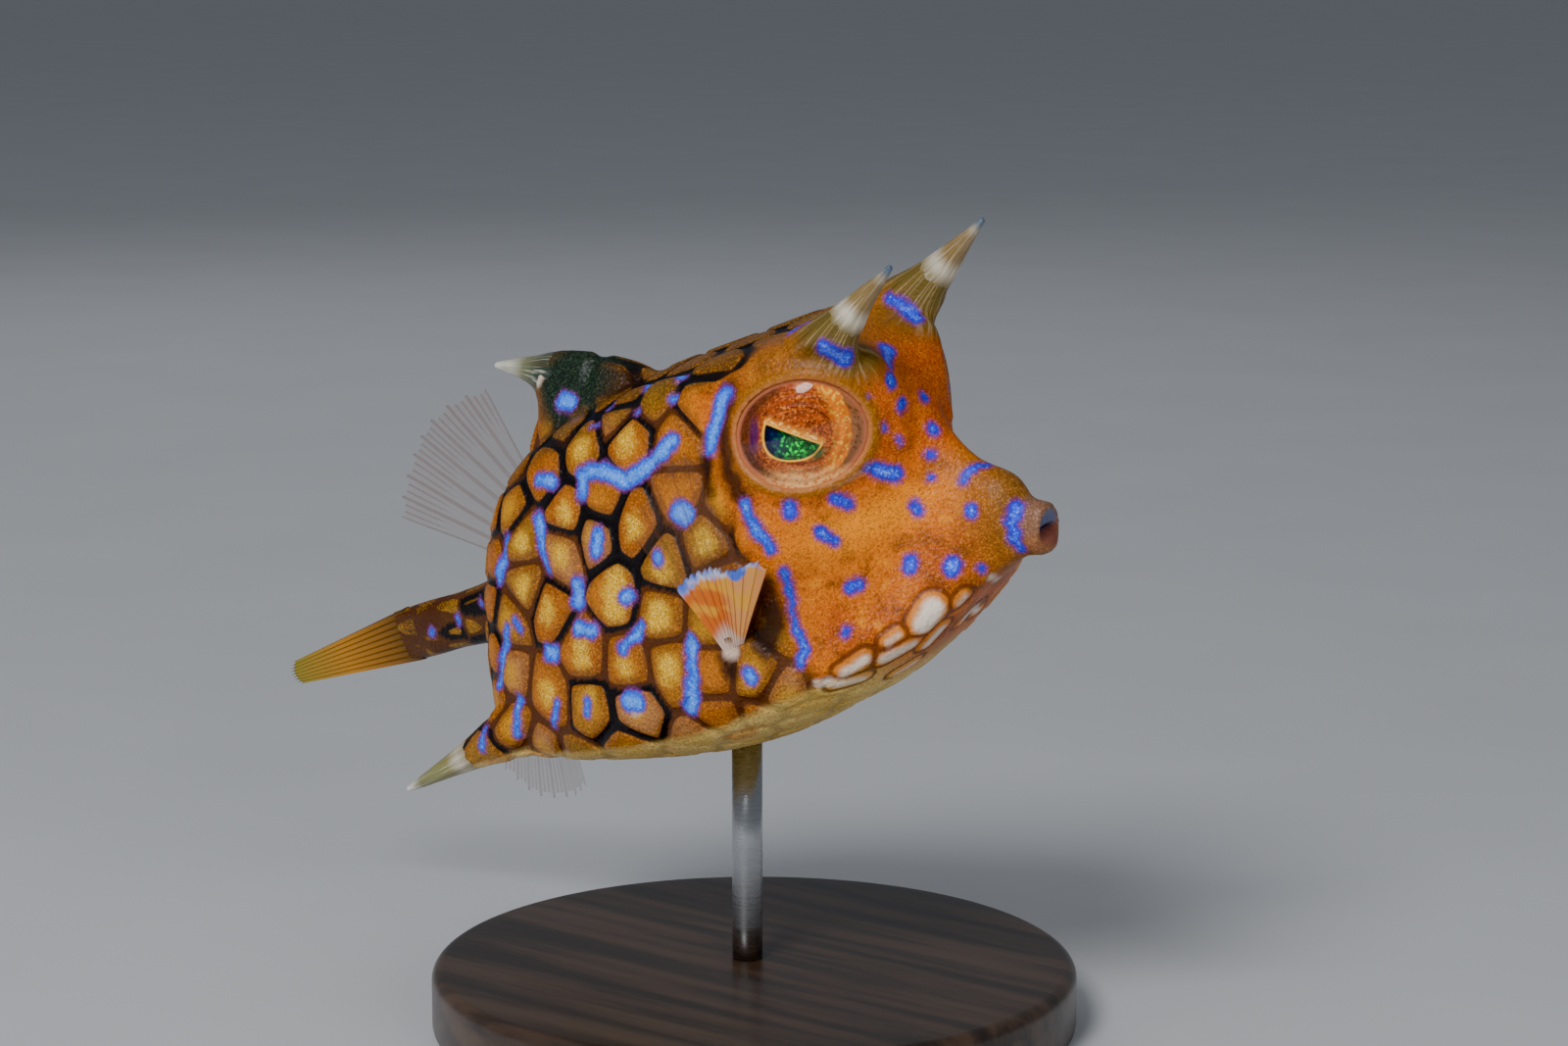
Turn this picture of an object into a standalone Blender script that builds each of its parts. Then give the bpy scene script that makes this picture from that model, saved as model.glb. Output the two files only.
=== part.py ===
"""A thornback cowfish as a life-size still model on a plain display stand.

The fish is drawn in its own frame, in millimetres: +X towards the snout, +Y to its left, +Z to its back, the
mouth near X = -3 and the tail's end at X = -118. Its pieces hang on one empty that carries the swimming pose.
"""
import math

import bmesh
import bpy
import numpy as np
from mathutils import Matrix, Vector
from mathutils.bvhtree import BVHTree

MM = 0.001
GAP = 0.3

# The swimming pose, about the middle of the body
BODY_CENTRE = (-42.0, 0.0, 5.0)
CENTRE_HEIGHT = 54.0
NOSE_UP = math.radians(17.4)
BANK = math.radians(11.7)

# The box of the body, one row for each station from the lips to the tail fin: middle of the back (x, z),
# upper ridge (x, y, z), lower ridge (x, y, z), middle of the belly (x, z), bulge of back, flank and belly
STATIONS = np.array([
    (-3.9, 0.1, -4.0, 1.1, -0.2, -4.3, 1.1, -1.3, -4.5, -1.7, 0.1, 0.1, 0.1),
    (-2.6, 1.6, -3.0, 1.7, 0.7, -4.2, 1.7, -2.5, -4.8, -3.3, 0.3, 0.5, 0.3),
    (-4.8, 2.9, -5.3, 1.9, 1.9, -6.5, 2.0, -2.3, -7.0, -3.0, 0.4, 0.5, 0.3),
    (-5.9, 5.6, -7.0, 2.7, 4.2, -9.1, 3.2, -3.0, -9.6, -3.8, 0.5, 0.6, 0.3),
    (-9.2, 8.3, -10.9, 2.5, 7.4, -12.1, 5.9, -4.3, -13.1, -5.3, 0.4, 0.7, 0.4),
    (-11.1, 11.8, -13.4, 2.9, 12.7, -15.4, 9.4, -5.6, -16.9, -7.6, 0.2, -0.5, 0.7),
    (-12.9, 17.0, -12.9, 5.0, 18.6, -20.2, 13.4, -6.8, -21.7, -10.3, -0.2, -2.3, 1.2),
    (-15.0, 22.0, -12.2, 6.6, 23.4, -25.2, 16.9, -7.5, -27.0, -12.7, -0.5, -2.1, 1.5),
    (-18.5, 25.0, -17.6, 9.3, 26.6, -31.2, 19.2, -8.0, -33.5, -14.2, -0.3, 0.4, 1.7),
    (-26.0, 26.5, -25.0, 10.4, 27.1, -38.0, 20.0, -8.9, -40.5, -15.6, 0.0, 1.3, 1.8),
    (-35.5, 27.0, -34.0, 10.2, 26.4, -45.0, 20.0, -9.15, -47.5, -16.1, 0.1, 1.3, 1.8),
    (-45.0, 26.7, -43.0, 9.8, 25.3, -52.0, 19.6, -9.1, -54.5, -15.8, 0.2, 1.4, 1.7),
    (-54.0, 25.6, -51.5, 9.2, 24.2, -59.5, 18.7, -8.8, -61.0, -15.0, 0.3, 1.5, 1.6),
    (-62.5, 23.8, -59.5, 8.6, 22.8, -67.0, 17.3, -8.6, -67.0, -13.9, 0.3, 1.6, 1.4),
    (-69.5, 20.3, -67.3, 8.2, 19.2, -73.4, 15.4, -7.9, -72.2, -12.0, 0.4, 1.7, 1.0),
    (-75.0, 15.2, -73.0, 6.6, 14.4, -76.6, 12.2, -5.0, -74.8, -8.0, 0.5, 1.2, 0.6),
    (-78.4, 11.0, -77.0, 4.3, 10.6, -78.6, 7.4, -0.6, -77.0, -2.6, 0.4, 0.6, 0.4),
    (-81.0, 9.0, -80.8, 2.4, 8.2, -81.0, 3.0, 2.0, -80.6, 0.9, 0.3, 0.4, 0.3),
    (-86.5, 8.4, -86.5, 1.9, 7.4, -87.0, 2.1, 2.6, -87.5, 1.7, 0.2, 0.3, 0.2),
    (-92.0, 8.3, -92.0, 1.6, 7.4, -92.5, 1.7, 2.4, -93.0, 1.6, 0.2, 0.2, 0.2),
    (-98.5, 8.1, -98.5, 1.2, 7.3, -98.5, 1.2, 2.2, -98.5, 1.4, 0.1, 0.1, 0.1),
])
LAST_STATION = len(STATIONS) - 1

# Plates are counted round the body from the middle of the back, 19 to a column
UPPER_RIDGE, LOWER_RIDGE, BELLY_LINE = 1.5, 6.5, 9.5
PLATES_ROUND = 19
RIDGE_SOFTNESS = 0.45
PLATE_RAISE = 0.32
PLATE_SHRINK = 0.85
COLUMN_STATIONS = (0.35, 1.0, 1.8, 2.8, 3.8, 4.7, 5.5, 6.25, 7.0, 7.7, 8.4, 9.05, 9.7, 10.35, 11.0, 11.65,
                   12.3, 12.95, 13.6, 14.3, 15.1, 16.0, 17.2, 18.6, 20.0)
FLANK_PLATES = (7.3, 15.5)
CHIN_PLATES = (4.2, 15.5)

# Where the body is parted: X at the height of Z = 0, and how far X shifts back for each millimetre up
HEAD_END, HEAD_END_LEAN = -27.4, 0.2
TAIL_START = -82.0
FIN_START = -97.2

# Spikes of the right side and the middle, foot to tip: middle (x, y, z) of each oval section, its half height
# and half width, and how far the section leans back from upright, in degrees
SPIKES = {
    "horn": ((-18.4, -7.7, 22.4, 5.65, 2.9, 27.0), (-15.55, -8.1, 24.7, 3.8, 2.5, 27.0),
             (-13.25, -8.5, 26.4, 2.35, 2.0, 27.0), (-11.2, -8.8, 27.4, 1.8, 1.6, 27.0),
             (-9.5, -8.9, 28.3, 1.35, 1.25, 27.0), (-7.7, -8.9, 29.2, 0.96, 0.9, 27.0),
             (-5.8, -8.9, 30.1, 0.55, 0.55, 27.0), (-4.1, -8.9, 31.0, 0.3, 0.3, 27.0)),
    "rear_spine": ((-69.0, -13.0, -5.4, 3.8, 3.4, 10.0), (-72.5, -13.9, -6.0, 3.35, 3.1, 10.0),
                   (-75.5, -14.1, -6.7, 2.75, 2.6, 10.0), (-78.5, -14.1, -7.3, 2.15, 2.1, 10.0),
                   (-81.5, -14.0, -7.95, 1.7, 1.7, 10.0), (-84.5, -13.9, -8.55, 1.3, 1.3, 10.0),
                   (-87.6, -13.8, -9.2, 0.95, 0.95, 10.0), (-90.5, -13.7, -9.8, 0.62, 0.62, 10.0),
                   (-93.1, -13.6, -10.3, 0.3, 0.3, 10.0)),
    "back_thorn": ((-55.0, 0.0, 22.5, 12.0, 5.4, -90.0), (-55.8, 0.0, 25.6, 9.3, 4.1, -84.0),
                   (-57.6, 0.0, 27.8, 6.6, 2.9, -76.0), (-60.0, 0.0, 29.4, 4.1, 1.9, -62.0),
                   (-62.6, 0.0, 30.5, 2.0, 1.25, -38.0), (-65.2, 0.0, 31.5, 1.05, 0.85, -22.0),
                   (-68.2, 0.0, 32.5, 0.3, 0.3, -18.0)),
}
# The section, counted from the foot, at which each spike's bare tip is parted from its skin-covered foot
SPIKE_PARTINGS = {"horn": 2.7, "rear_spine": 3.6, "back_thorn": 3.5}
SPIKE_SIDES = 12

# Eyes: middle on the flank, radius across, share longer than high, depth of the ball, height of its dome
EYE_STATION, EYE_ROUND = 7.9, 2.81
EYE_RADIUS, EYE_LENGTHEN, EYE_DEPTH, EYE_DOME = 5.65, 1.25, 4.2, 1.15
EYE_SIDES = 28
# How far out along the eye's axis its rings start before they are laid on the skin
DRAPE_FROM = 12.0
# The rim of skin round the eye: radius past the ball, height over the skin
RIM_PROFILE = ((1.9, -1.4), (1.7, -0.1), (1.1, 0.45), (0.5, 0.6), (0.0, 0.45), (-0.4, -1.4))

# Mouth: the middle of the lips, half width and half height of the ring of lips, its thickness, and the slot
LIPS_X, LIPS_Z = -4.2, -0.8
LIPS_HALF_WIDTH, LIPS_HALF_HEIGHT, LIPS_THICK = 1.9, 2.1, 0.75
SLOT_HALF_WIDTH, SLOT_HALF_HEIGHT, SLOT_DEPTH = 2.2, 0.32, 2.2

MATERIALS = {
    "plate_skin": ((0.46, 0.24, 0.045), 0.45),
    "head_skin": ((0.52, 0.19, 0.035), 0.45),
    "tail_skin": ((0.45, 0.26, 0.05), 0.45),
    "spine_horn": ((0.62, 0.58, 0.47), 0.4),
    "eye": ((0.40, 0.13, 0.04), 0.12),
    "fin": ((0.42, 0.36, 0.16), 0.4),
    "base_wood": ((0.06, 0.045, 0.035), 0.45),
    "rod_steel": ((0.6, 0.6, 0.6), 0.3),
}

# Nostrils in front of each eye: a short tube with a pit in it
NOSTRIL_STATION, NOSTRIL_ROUND = 5.65, 2.3
NOSTRIL_RADIUS, NOSTRIL_RISE, NOSTRIL_DEPTH = 0.75, 0.5, 1.0

# Fins: ends of the root line, points of the outer edge, number of rays, and the share of a ray that is fleshy
# stub. The right pectoral fin is raised in its stroke and the left one swept back
FINS = {
    "pectoral_fin_right": (((-35.0, -18.3, -2.5), (-33.1, -18.1, -1.9)),
                           ((-36.7, -23.2, 13.3), (-32.5, -24.2, 17.3), (-28.1, -24.8, 19.9),
                            (-25.0, -24.6, 20.0), (-24.2, -24.2, 15.4), (-23.8, -23.9, 10.5),
                            (-22.7, -23.6, 8.1), (-22.0, -23.2, 6.5)), 9, 0.26),
    "pectoral_fin_left": (((-35.0, 18.2, -2.0), (-32.4, 17.4, 0.6)),
                          ((-46.5, 22.6, 2.0), (-47.2, 23.4, 6.2), (-45.8, 24.0, 10.2),
                           (-43.0, 24.2, 13.2), (-39.4, 24.0, 14.2), (-36.4, 23.6, 12.0),
                           (-34.0, 23.0, 8.4)), 9, 0.26),
    "dorsal_fin": (((-69.0, 0.0, 18.6), (-76.8, 0.0, 10.2)),
                   ((-71.3, 0.0, 30.0), (-76.0, 0.0, 29.8), (-81.0, 0.0, 28.2), (-85.2, 0.0, 25.6),
                    (-88.5, 0.0, 22.2), (-90.6, 0.0, 18.6)), 9, 0.3),
    "anal_fin": (((-76.4, 0.0, -0.4), (-80.8, 0.0, 2.4)),
                 ((-79.0, 0.0, -17.4), (-82.6, 0.0, -18.4), (-86.9, 0.0, -17.2), (-91.0, 0.0, -13.7)),
                 8, 0.34),
    "caudal_fin": (((-97.35, 0.0, 1.4), (-97.35, 0.0, 8.1)),
                   ((-117.8, 0.0, 2.2), (-118.5, 0.0, 3.1), (-118.5, 0.0, 4.1), (-117.7, 0.0, 5.1)), 9, 0.0),
}
FIN_HALF_THICK, TAIL_FIN_HALF_THICK = 0.28, 0.42
RAY_RAISE = 0.2
STUB_EXTRA, STUB_SUNK, STUB_FOLDS = 0.35, 0.08, 3

# Stand
BASE_RADIUS, BASE_THICK, BASE_BEVEL = 36.0, 7.0, 1.4
ROD_RADIUS, ROD_SIDES = 1.7, 14
ROD_PLACE = (-1.0, 0.0)


def clear_scene():
    for obj in list(bpy.data.objects):
        bpy.data.objects.remove(obj, do_unlink=True)


def material(name):
    colour, roughness = MATERIALS[name]
    made = bpy.data.materials.get(name) or bpy.data.materials.new(name)
    made.use_nodes = True
    shader = made.node_tree.nodes["Principled BSDF"]
    shader.inputs["Base Color"].default_value = (*colour, 1.0)
    shader.inputs["Roughness"].default_value = roughness
    shader.inputs["Metallic"].default_value = 1.0 if name == "rod_steel" else 0.0
    return made


def along(station):
    """The station rows read as smooth (Catmull-Rom) curves at a real station number."""
    station = np.clip(np.asarray(station, float), 0, LAST_STATION - 1e-9)
    index = station.astype(int)
    f = (station - index)[..., None]
    first = 2 * STATIONS[:1] - STATIONS[1:2]
    last = 2 * STATIONS[-1:] - STATIONS[-2:-1]
    rows = np.concatenate([first, STATIONS, last])
    a, b, c, d = rows[index], rows[index + 1], rows[index + 2], rows[index + 3]
    return b + f * ((c - a) / 2 + f * (a - 2.5 * b + 2 * c - d / 2 + f * (1.5 * b - 1.5 * c + (d - a) / 2)))


def unit(vectors):
    return vectors / (np.linalg.norm(vectors, axis=-1, keepdims=True) + 1e-9)


def box_point(station, round_):
    """A point of the box: straight panels between its ridges, each bulged outwards as a parabola."""
    row = along(station)
    zero = np.zeros(row.shape[:-1])
    back = np.stack([row[..., 0], zero, row[..., 1]], -1)
    belly = np.stack([row[..., 8], zero, row[..., 9]], -1)
    upper, lower = row[..., 2:5], row[..., 5:8]
    turned = (np.asarray(round_, float) + BELLY_LINE) % (2 * BELLY_LINE) - BELLY_LINE
    side = np.where(turned < 0, 1.0, -1.0)
    w = np.abs(turned)[..., None]
    on_back, on_flank = w < UPPER_RIDGE, w < LOWER_RIDGE
    start = np.where(on_back, back, np.where(on_flank, upper, lower))
    end = np.where(on_back, upper, np.where(on_flank, lower, belly))
    f = np.where(on_back, w / UPPER_RIDGE, np.where(on_flank, (w - UPPER_RIDGE) / (LOWER_RIDGE - UPPER_RIDGE),
                                                    (w - LOWER_RIDGE) / (BELLY_LINE - LOWER_RIDGE)))
    bulge = np.where(on_back, row[..., 10:11], np.where(on_flank, row[..., 11:12], row[..., 12:13]))
    axis = (back + belly + upper + lower) / 4 * np.array([1.0, 0.0, 1.0])
    across = unit(end - start)
    outward = (start + end) / 2 - axis
    outward = unit(outward - (outward * across).sum(-1, keepdims=True) * across)
    point = start + (end - start) * f + outward * bulge * 4 * f * (1 - f)
    point[..., 1] *= side
    return point


def skin_point(station, round_):
    """The box with its ridges rounded: the mean of four points spread round the section."""
    station, round_ = np.broadcast_arrays(np.asarray(station, float), np.asarray(round_, float))
    spread = (-RIDGE_SOFTNESS, -RIDGE_SOFTNESS / 2, RIDGE_SOFTNESS / 2, RIDGE_SOFTNESS)
    return sum(box_point(station, round_ + offset) for offset in spread) / len(spread)


def skin_normal(station, round_, reach=0.05):
    along_body = skin_point(station + reach, round_) - skin_point(station - reach, round_)
    round_body = skin_point(station, round_ + reach) - skin_point(station, round_ - reach)
    return unit(np.cross(along_body, round_body))


def mesh_of(verts, faces):
    """A bmesh of these points and faces, with its faces made to point out."""
    made = bmesh.new()
    points = [made.verts.new(v) for v in np.asarray(verts, float).tolist()]
    for face in faces:
        made.faces.new([points[i] for i in face])
    bmesh.ops.recalc_face_normals(made, faces=made.faces)
    if made.calc_volume(signed=True) < 0:
        bmesh.ops.reverse_faces(made, faces=made.faces)
    return made


def body_mesh(raised):
    """The closed skin as columns of six-sided plates, each a fan about its middle, with those named raised.

    Column i has its plates half a plate further round than column i - 1. Its plates reach two thirds of a
    column fore and aft, and their flat sides one third, so each pair of columns shares two rings of corners.
    """
    columns = len(COLUMN_STATIONS)
    index = np.arange(columns)

    def station_at(column):
        return float(np.interp(column, index, COLUMN_STATIONS))

    verts, faces, corner = [], [], {}
    for i in range(-1, columns):
        for kind, shift in (("flat", 1 / 3), ("point", 2 / 3)):
            offset = 0.5 * ((i % 2) + (kind == "flat"))
            station = station_at(i + shift)
            for j in range(PLATES_ROUND):
                corner[kind, i, int(2 * (j + offset)) % (2 * PLATES_ROUND)] = len(verts)
                verts.append(skin_point(station, j + offset))
    for i in range(columns):
        for j in range(PLATES_ROUND):
            middle = j + 0.5 * (i % 2)
            half = int(2 * middle)
            keys = (("flat", i - 1, half), ("point", i - 1, half - 1), ("flat", i, half - 1),
                    ("point", i, half), ("flat", i, half + 1), ("point", i - 1, half + 1))
            ring = [corner[kind, column, turn % (2 * PLATES_ROUND)] for kind, column, turn in keys]
            station = station_at(i)
            centre = skin_point(station, middle)
            if raised(station, middle):
                lift = PLATE_RAISE * skin_normal(station, middle)
                inner = list(range(len(verts), len(verts) + 6))
                verts.extend(centre + (verts[k] - centre) * PLATE_SHRINK + lift for k in ring)
                faces.extend((ring[k], ring[k - 5], inner[k - 5], inner[k]) for k in range(6))
                ring, centre = inner, centre + lift
            verts.append(centre)
            faces.extend((ring[k], ring[k - 5], len(verts) - 1) for k in range(6))
    for i, kinds in ((-1, ("flat", "point")), (columns - 1, ("flat", "point"))):
        loop = []
        for turn in range(2 * PLATES_ROUND):
            loop.extend(corner[kind, i, turn] for kind in kinds if (kind, i, turn) in corner)
        verts.append(np.mean([verts[k] for k in loop], axis=0))
        faces.extend((loop[k], loop[(k + 1) % len(loop)], len(verts) - 1) for k in range(len(loop)))
    return mesh_of(verts, faces)


def has_plate(station, round_):
    """Plates are raised over the trunk, and under the head along its lower ridge and belly."""
    turned = abs((round_ + BELLY_LINE) % (2 * BELLY_LINE) - BELLY_LINE)
    first, last = CHIN_PLATES if turned > LOWER_RIDGE - 1.0 else FLANK_PLATES
    return first < station < last


def cut(source, x, keep_front, lean=0.0):
    """A closed copy of the mesh on one side of the plane through X = x, which leans back as it rises."""
    made = source.copy()
    normal = Vector((1.0, 0.0, lean)).normalized()
    if keep_front:
        normal.negate()
    everything = made.verts[:] + made.edges[:] + made.faces[:]
    bmesh.ops.bisect_plane(made, geom=everything, plane_co=(x, 0.0, 0.0), plane_no=normal, clear_outer=True)
    rim = [edge for edge in made.edges if edge.is_boundary]
    bmesh.ops.holes_fill(made, edges=rim, sides=0)
    bmesh.ops.triangulate(made, faces=made.faces[:])
    return made


def loft(rings, cap_tip=None):
    """A closed solid through rings of equally many points; the last may end in one point."""
    sides = len(rings[0])
    verts = [point for ring in rings for point in ring]
    faces = [tuple(range(sides))[::-1]]
    for r in range(len(rings) - 1):
        for k in range(sides):
            n = (k + 1) % sides
            low, high = r * sides, (r + 1) * sides
            faces.append((low + k, low + n, high + n))
            faces.append((low + k, high + n, high + k))
    top = (len(rings) - 1) * sides
    if cap_tip is None:
        faces.append(tuple(range(top, top + sides)))
    else:
        verts.append(cap_tip)
        faces.extend((top + k, top + (k + 1) % sides, len(verts) - 1) for k in range(sides))
    return mesh_of(verts, faces)


def ring(centre, first, second, half_first, half_second, sides):
    turn = np.arange(sides) * 2 * math.pi / sides
    return (np.asarray(centre) + np.outer(np.cos(turn) * half_first, first)
            + np.outer(np.sin(turn) * half_second, second))


def mirrored(points, mirror):
    return points * np.array([1.0, -1.0 if mirror else 1.0, 1.0])


def spike(name, mirror, free):
    """A horn, rear spine or thorn as oval sections: its free tip, or the foot that is fused to the body.

    Each section's height axis leans back by its own angle and its width axis lies across the body.
    """
    table = np.array(SPIKES[name])
    steps = np.arange(len(table))
    parting = SPIKE_PARTINGS[name]
    length = np.linalg.norm(np.diff(table[:, :3], axis=0), axis=1)[int(parting)]
    half_gap = GAP / 2 / length
    start, end = (parting + half_gap, steps[-1]) if free else (0, parting - half_gap)
    rings = []
    for step in [start, *(s for s in steps if start + 0.1 < s < end - 0.1), end]:
        x, y, z, height, width, lean = (np.interp(step, steps, column) for column in table.T)
        lean = math.radians(lean)
        upward = (-math.sin(lean), 0.0, math.cos(lean))
        rings.append(mirrored(ring((x, y, z), upward, (0.0, 1.0, 0.0), height, width, SPIKE_SIDES), mirror))
    return loft(rings)


def eye_frame(mirror):
    """The eye's middle on the flank, its outward axis, its long axis and its short axis."""
    turn = -EYE_ROUND if mirror else EYE_ROUND
    middle = skin_point(EYE_STATION, turn)
    outward = skin_normal(EYE_STATION, turn, 0.55)
    long_axis = unit(np.array([1.0, 0.0, -0.12]) - outward * (outward @ np.array([1.0, 0.0, -0.12])))
    return middle, outward, long_axis, np.cross(outward, long_axis)


def flat_ring(frame, radius, height):
    middle, outward, long_axis, short_axis = frame
    return ring(middle + outward * height, long_axis, short_axis, radius * EYE_LENGTHEN, radius, EYE_SIDES)


def draped_ring(frame, skin, radius, height):
    """A ring about the eye's axis whose every point lies at the same height over the skin."""
    outward = Vector(frame[1])
    points = []
    for point in flat_ring(frame, radius, DRAPE_FROM):
        drop = skin.ray_cast(Vector(point), -outward)[3]
        points.append(point + frame[1] * (height - drop))
    return np.array(points)


def eyeball(frame, skin, grow):
    """The ball's flat back and side, then a low dome that follows the skin; grown, it cuts the socket."""
    rings = [flat_ring(frame, EYE_RADIUS - 1.2 + grow, -EYE_DEPTH - grow),
             flat_ring(frame, EYE_RADIUS + grow, -EYE_DEPTH * 0.5)]
    if grow:
        return loft([*rings, flat_ring(frame, EYE_RADIUS + grow, EYE_DEPTH)])
    for share in (1.0, 0.86, 0.64, 0.36):
        rings.append(draped_ring(frame, skin, EYE_RADIUS * share, EYE_DOME * math.sqrt(1.15 - share * share)))
    return loft(rings)


def band(rings):
    """A closed ring-shaped solid: the rings are joined each to the next, and the last to the first."""
    sides = len(rings[0])
    faces = []
    for r in range(len(rings)):
        low, high = r * sides, (r + 1) % len(rings) * sides
        for k in range(sides):
            n = (k + 1) % sides
            faces.append((low + k, low + n, high + n))
            faces.append((low + k, high + n, high + k))
    return mesh_of(np.concatenate(rings), faces)


def lips():
    """A ring of rounded section round the mouth."""
    turns = np.arange(6) * math.pi / 3
    across, upward = (0.0, 1.0, 0.0), (0.0, 0.0, 1.0)
    return band([ring((LIPS_X + LIPS_THICK * math.cos(turn), 0.0, LIPS_Z), across, upward,
                      LIPS_HALF_WIDTH + LIPS_THICK * math.sin(turn),
                      LIPS_HALF_HEIGHT + LIPS_THICK * math.sin(turn), 16) for turn in turns])


def mouth_slot():
    """The parted lips: a flat oval slot that narrows as it goes in."""
    return loft([ring((LIPS_X + x, 0.0, LIPS_Z + 0.2), (0.0, 1.0, 0.0), (0.0, 0.0, 1.0),
                      SLOT_HALF_WIDTH * share, SLOT_HALF_HEIGHT * share, 12)
                 for x, share in ((2.0, 1.3), (-SLOT_DEPTH, 0.8))])


def nostril(mirror, pit):
    """The short tube of a nostril, or the pit in it."""
    turn = -NOSTRIL_ROUND if mirror else NOSTRIL_ROUND
    middle = skin_point(NOSTRIL_STATION, turn)
    outward = skin_normal(NOSTRIL_STATION, turn, 0.3)
    first = unit(np.array([0.0, 0.0, 1.0]) - outward[2] * outward)
    profile = ((0.3, -NOSTRIL_DEPTH), (0.6, 1.5)) if pit else ((1.3, -0.6), (0.8, NOSTRIL_RISE))
    return loft([ring(middle + outward * height, first, np.cross(outward, first), radius * NOSTRIL_RADIUS,
                      radius * NOSTRIL_RADIUS, 8) for radius, height in profile])


def add(name, source, material_name, parent=None):
    """A named object from a mesh in the fish's frame, placed in metres about the body's centre."""
    bmesh.ops.triangulate(source, faces=source.faces[:])
    offset = BODY_CENTRE if parent else (0.0, 0.0, 0.0)
    bmesh.ops.translate(source, verts=source.verts, vec=[-value for value in offset])
    bmesh.ops.scale(source, verts=source.verts, vec=(MM, MM, MM))
    data = bpy.data.meshes.new(name)
    source.to_mesh(data)
    source.free()
    data.shade_smooth()
    data.set_sharp_from_angle(angle=math.radians(32))
    data.materials.append(material(material_name))
    obj = bpy.data.objects.new(name, data)
    bpy.context.collection.objects.link(obj)
    obj.parent = parent
    return obj


def boolean(body, others, operation):
    """The body joined with, or cut by, a collection of closed meshes; its largest closed surface is kept."""
    collection = bpy.data.collections.new("pieces")
    bpy.context.scene.collection.children.link(collection)

    def placed(name, source, where):
        data = bpy.data.meshes.new(name)
        bmesh.ops.triangulate(source, faces=source.faces[:])
        source.to_mesh(data)
        source.free()
        obj = bpy.data.objects.new(name, data)
        where.objects.link(obj)
        return obj

    whole = placed("whole", body, bpy.context.scene.collection)
    for other in others:
        placed("piece", other, collection)
    modifier = whole.modifiers.new("join", "BOOLEAN")
    modifier.operation = operation
    modifier.operand_type = "COLLECTION"
    modifier.collection = collection
    modifier.solver = "EXACT"
    bpy.context.view_layer.update()
    graph = bpy.context.evaluated_depsgraph_get()
    joined = bmesh.new()
    joined.from_mesh(whole.evaluated_get(graph).to_mesh())
    for obj in [whole, *collection.objects]:
        bpy.data.objects.remove(obj, do_unlink=True)
    bpy.data.collections.remove(collection)
    keep_largest(joined)
    return joined


def keep_largest(source):
    """Drops every closed surface but the one with the most faces."""
    left, pieces = set(source.faces), []
    while left:
        stack = [left.pop()]
        piece = set(stack)
        while stack:
            for edge in stack.pop().edges:
                for face in edge.link_faces:
                    if face in left:
                        left.discard(face)
                        piece.add(face)
                        stack.append(face)
        pieces.append(piece)
    largest = max(pieces, key=len)
    bmesh.ops.delete(source, geom=[face for face in source.faces if face not in largest], context="FACES")
    bmesh.ops.dissolve_degenerate(source, dist=1e-4, edges=source.edges[:])


def fin_sheet(root, tips, f, g):
    """A fin's middle surface: straight rays from the root line to a smooth curve through the outer points."""
    root, tips = np.array(root, float), np.array(tips, float)
    place = np.linspace(0, 1, len(tips))
    outer = np.stack([np.interp(f, place, tips[:, k]) for k in range(3)], -1)
    inner = root[0] + (root[1] - root[0]) * np.asarray(f)[..., None]
    return inner + (outer - inner) * np.asarray(g)[..., None]


def fin(root, tips, rays, start, end, half_thick, ray_raise, steps=4):
    """A vane from start to end of the rays' length, with each ray raised in its own two faces.

    The half thickness is largest at a ray and least between two, and shrinks towards the outer edge.
    """
    across = np.linspace(0, 1, 2 * rays - 1)
    outward = np.linspace(start, end, steps + 1)
    g, f = np.meshgrid(outward, across, indexing="ij")
    middle = fin_sheet(root, tips, f, g)
    after, before = np.minimum(f + 0.02, 1), np.maximum(f - 0.02, 0)
    by_f = fin_sheet(root, tips, after, g) - fin_sheet(root, tips, before, g)
    by_g = fin_sheet(root, tips, f, g + 0.02) - middle
    normal = unit(np.cross(by_f, by_g))
    on_ray = (np.arange(len(across)) % 2 == 0)[None, :]
    taper = 1.0 - 0.35 * np.clip(g, 0, 1)
    half = (half_thick + ray_raise * on_ray) * taper
    sheets = [middle + normal * half[..., None], middle - normal * half[..., None]]
    rows, columns = g.shape
    verts = np.concatenate([sheet.reshape(-1, 3) for sheet in sheets])
    shift = rows * columns
    faces = []
    for r in range(rows - 1):
        for k in range(columns - 1):
            a, b = r * columns + k, r * columns + k + 1
            c, d = a + columns, b + columns
            faces.extend([(a, b, d), (a, d, c)])
            faces.extend([(b + shift, a + shift, d + shift), (d + shift, a + shift, c + shift)])
    border = ([(0, k) for k in range(columns)] + [(r, columns - 1) for r in range(1, rows)]
              + [(rows - 1, k) for k in range(columns - 2, -1, -1)]
              + [(r, 0) for r in range(rows - 2, 0, -1)])
    loop = [r * columns + k for r, k in border]
    for k in range(len(loop)):
        a, b = loop[k], loop[(k + 1) % len(loop)]
        faces.extend([(a, a + shift, b + shift), (a, b + shift, b)])
    return mesh_of(verts, faces)


def fin_stub(name):
    """The fleshy root of a fin: smooth, thicker than the vane, and sunk into the skin."""
    root, tips, _, stub = FINS[name]
    return fin(root, tips, STUB_FOLDS, -STUB_SUNK, stub, FIN_HALF_THICK + STUB_EXTRA, 0.0, steps=1)


def fin_vane(name):
    root, tips, rays, stub = FINS[name]
    half = TAIL_FIN_HALF_THICK if name == "caudal_fin" else FIN_HALF_THICK
    start = stub + (GAP / math.dist(root[0], tips[0]) if stub else 0.0)
    return fin(root, tips, rays, start, 1.0, half, RAY_RAISE)


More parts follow.
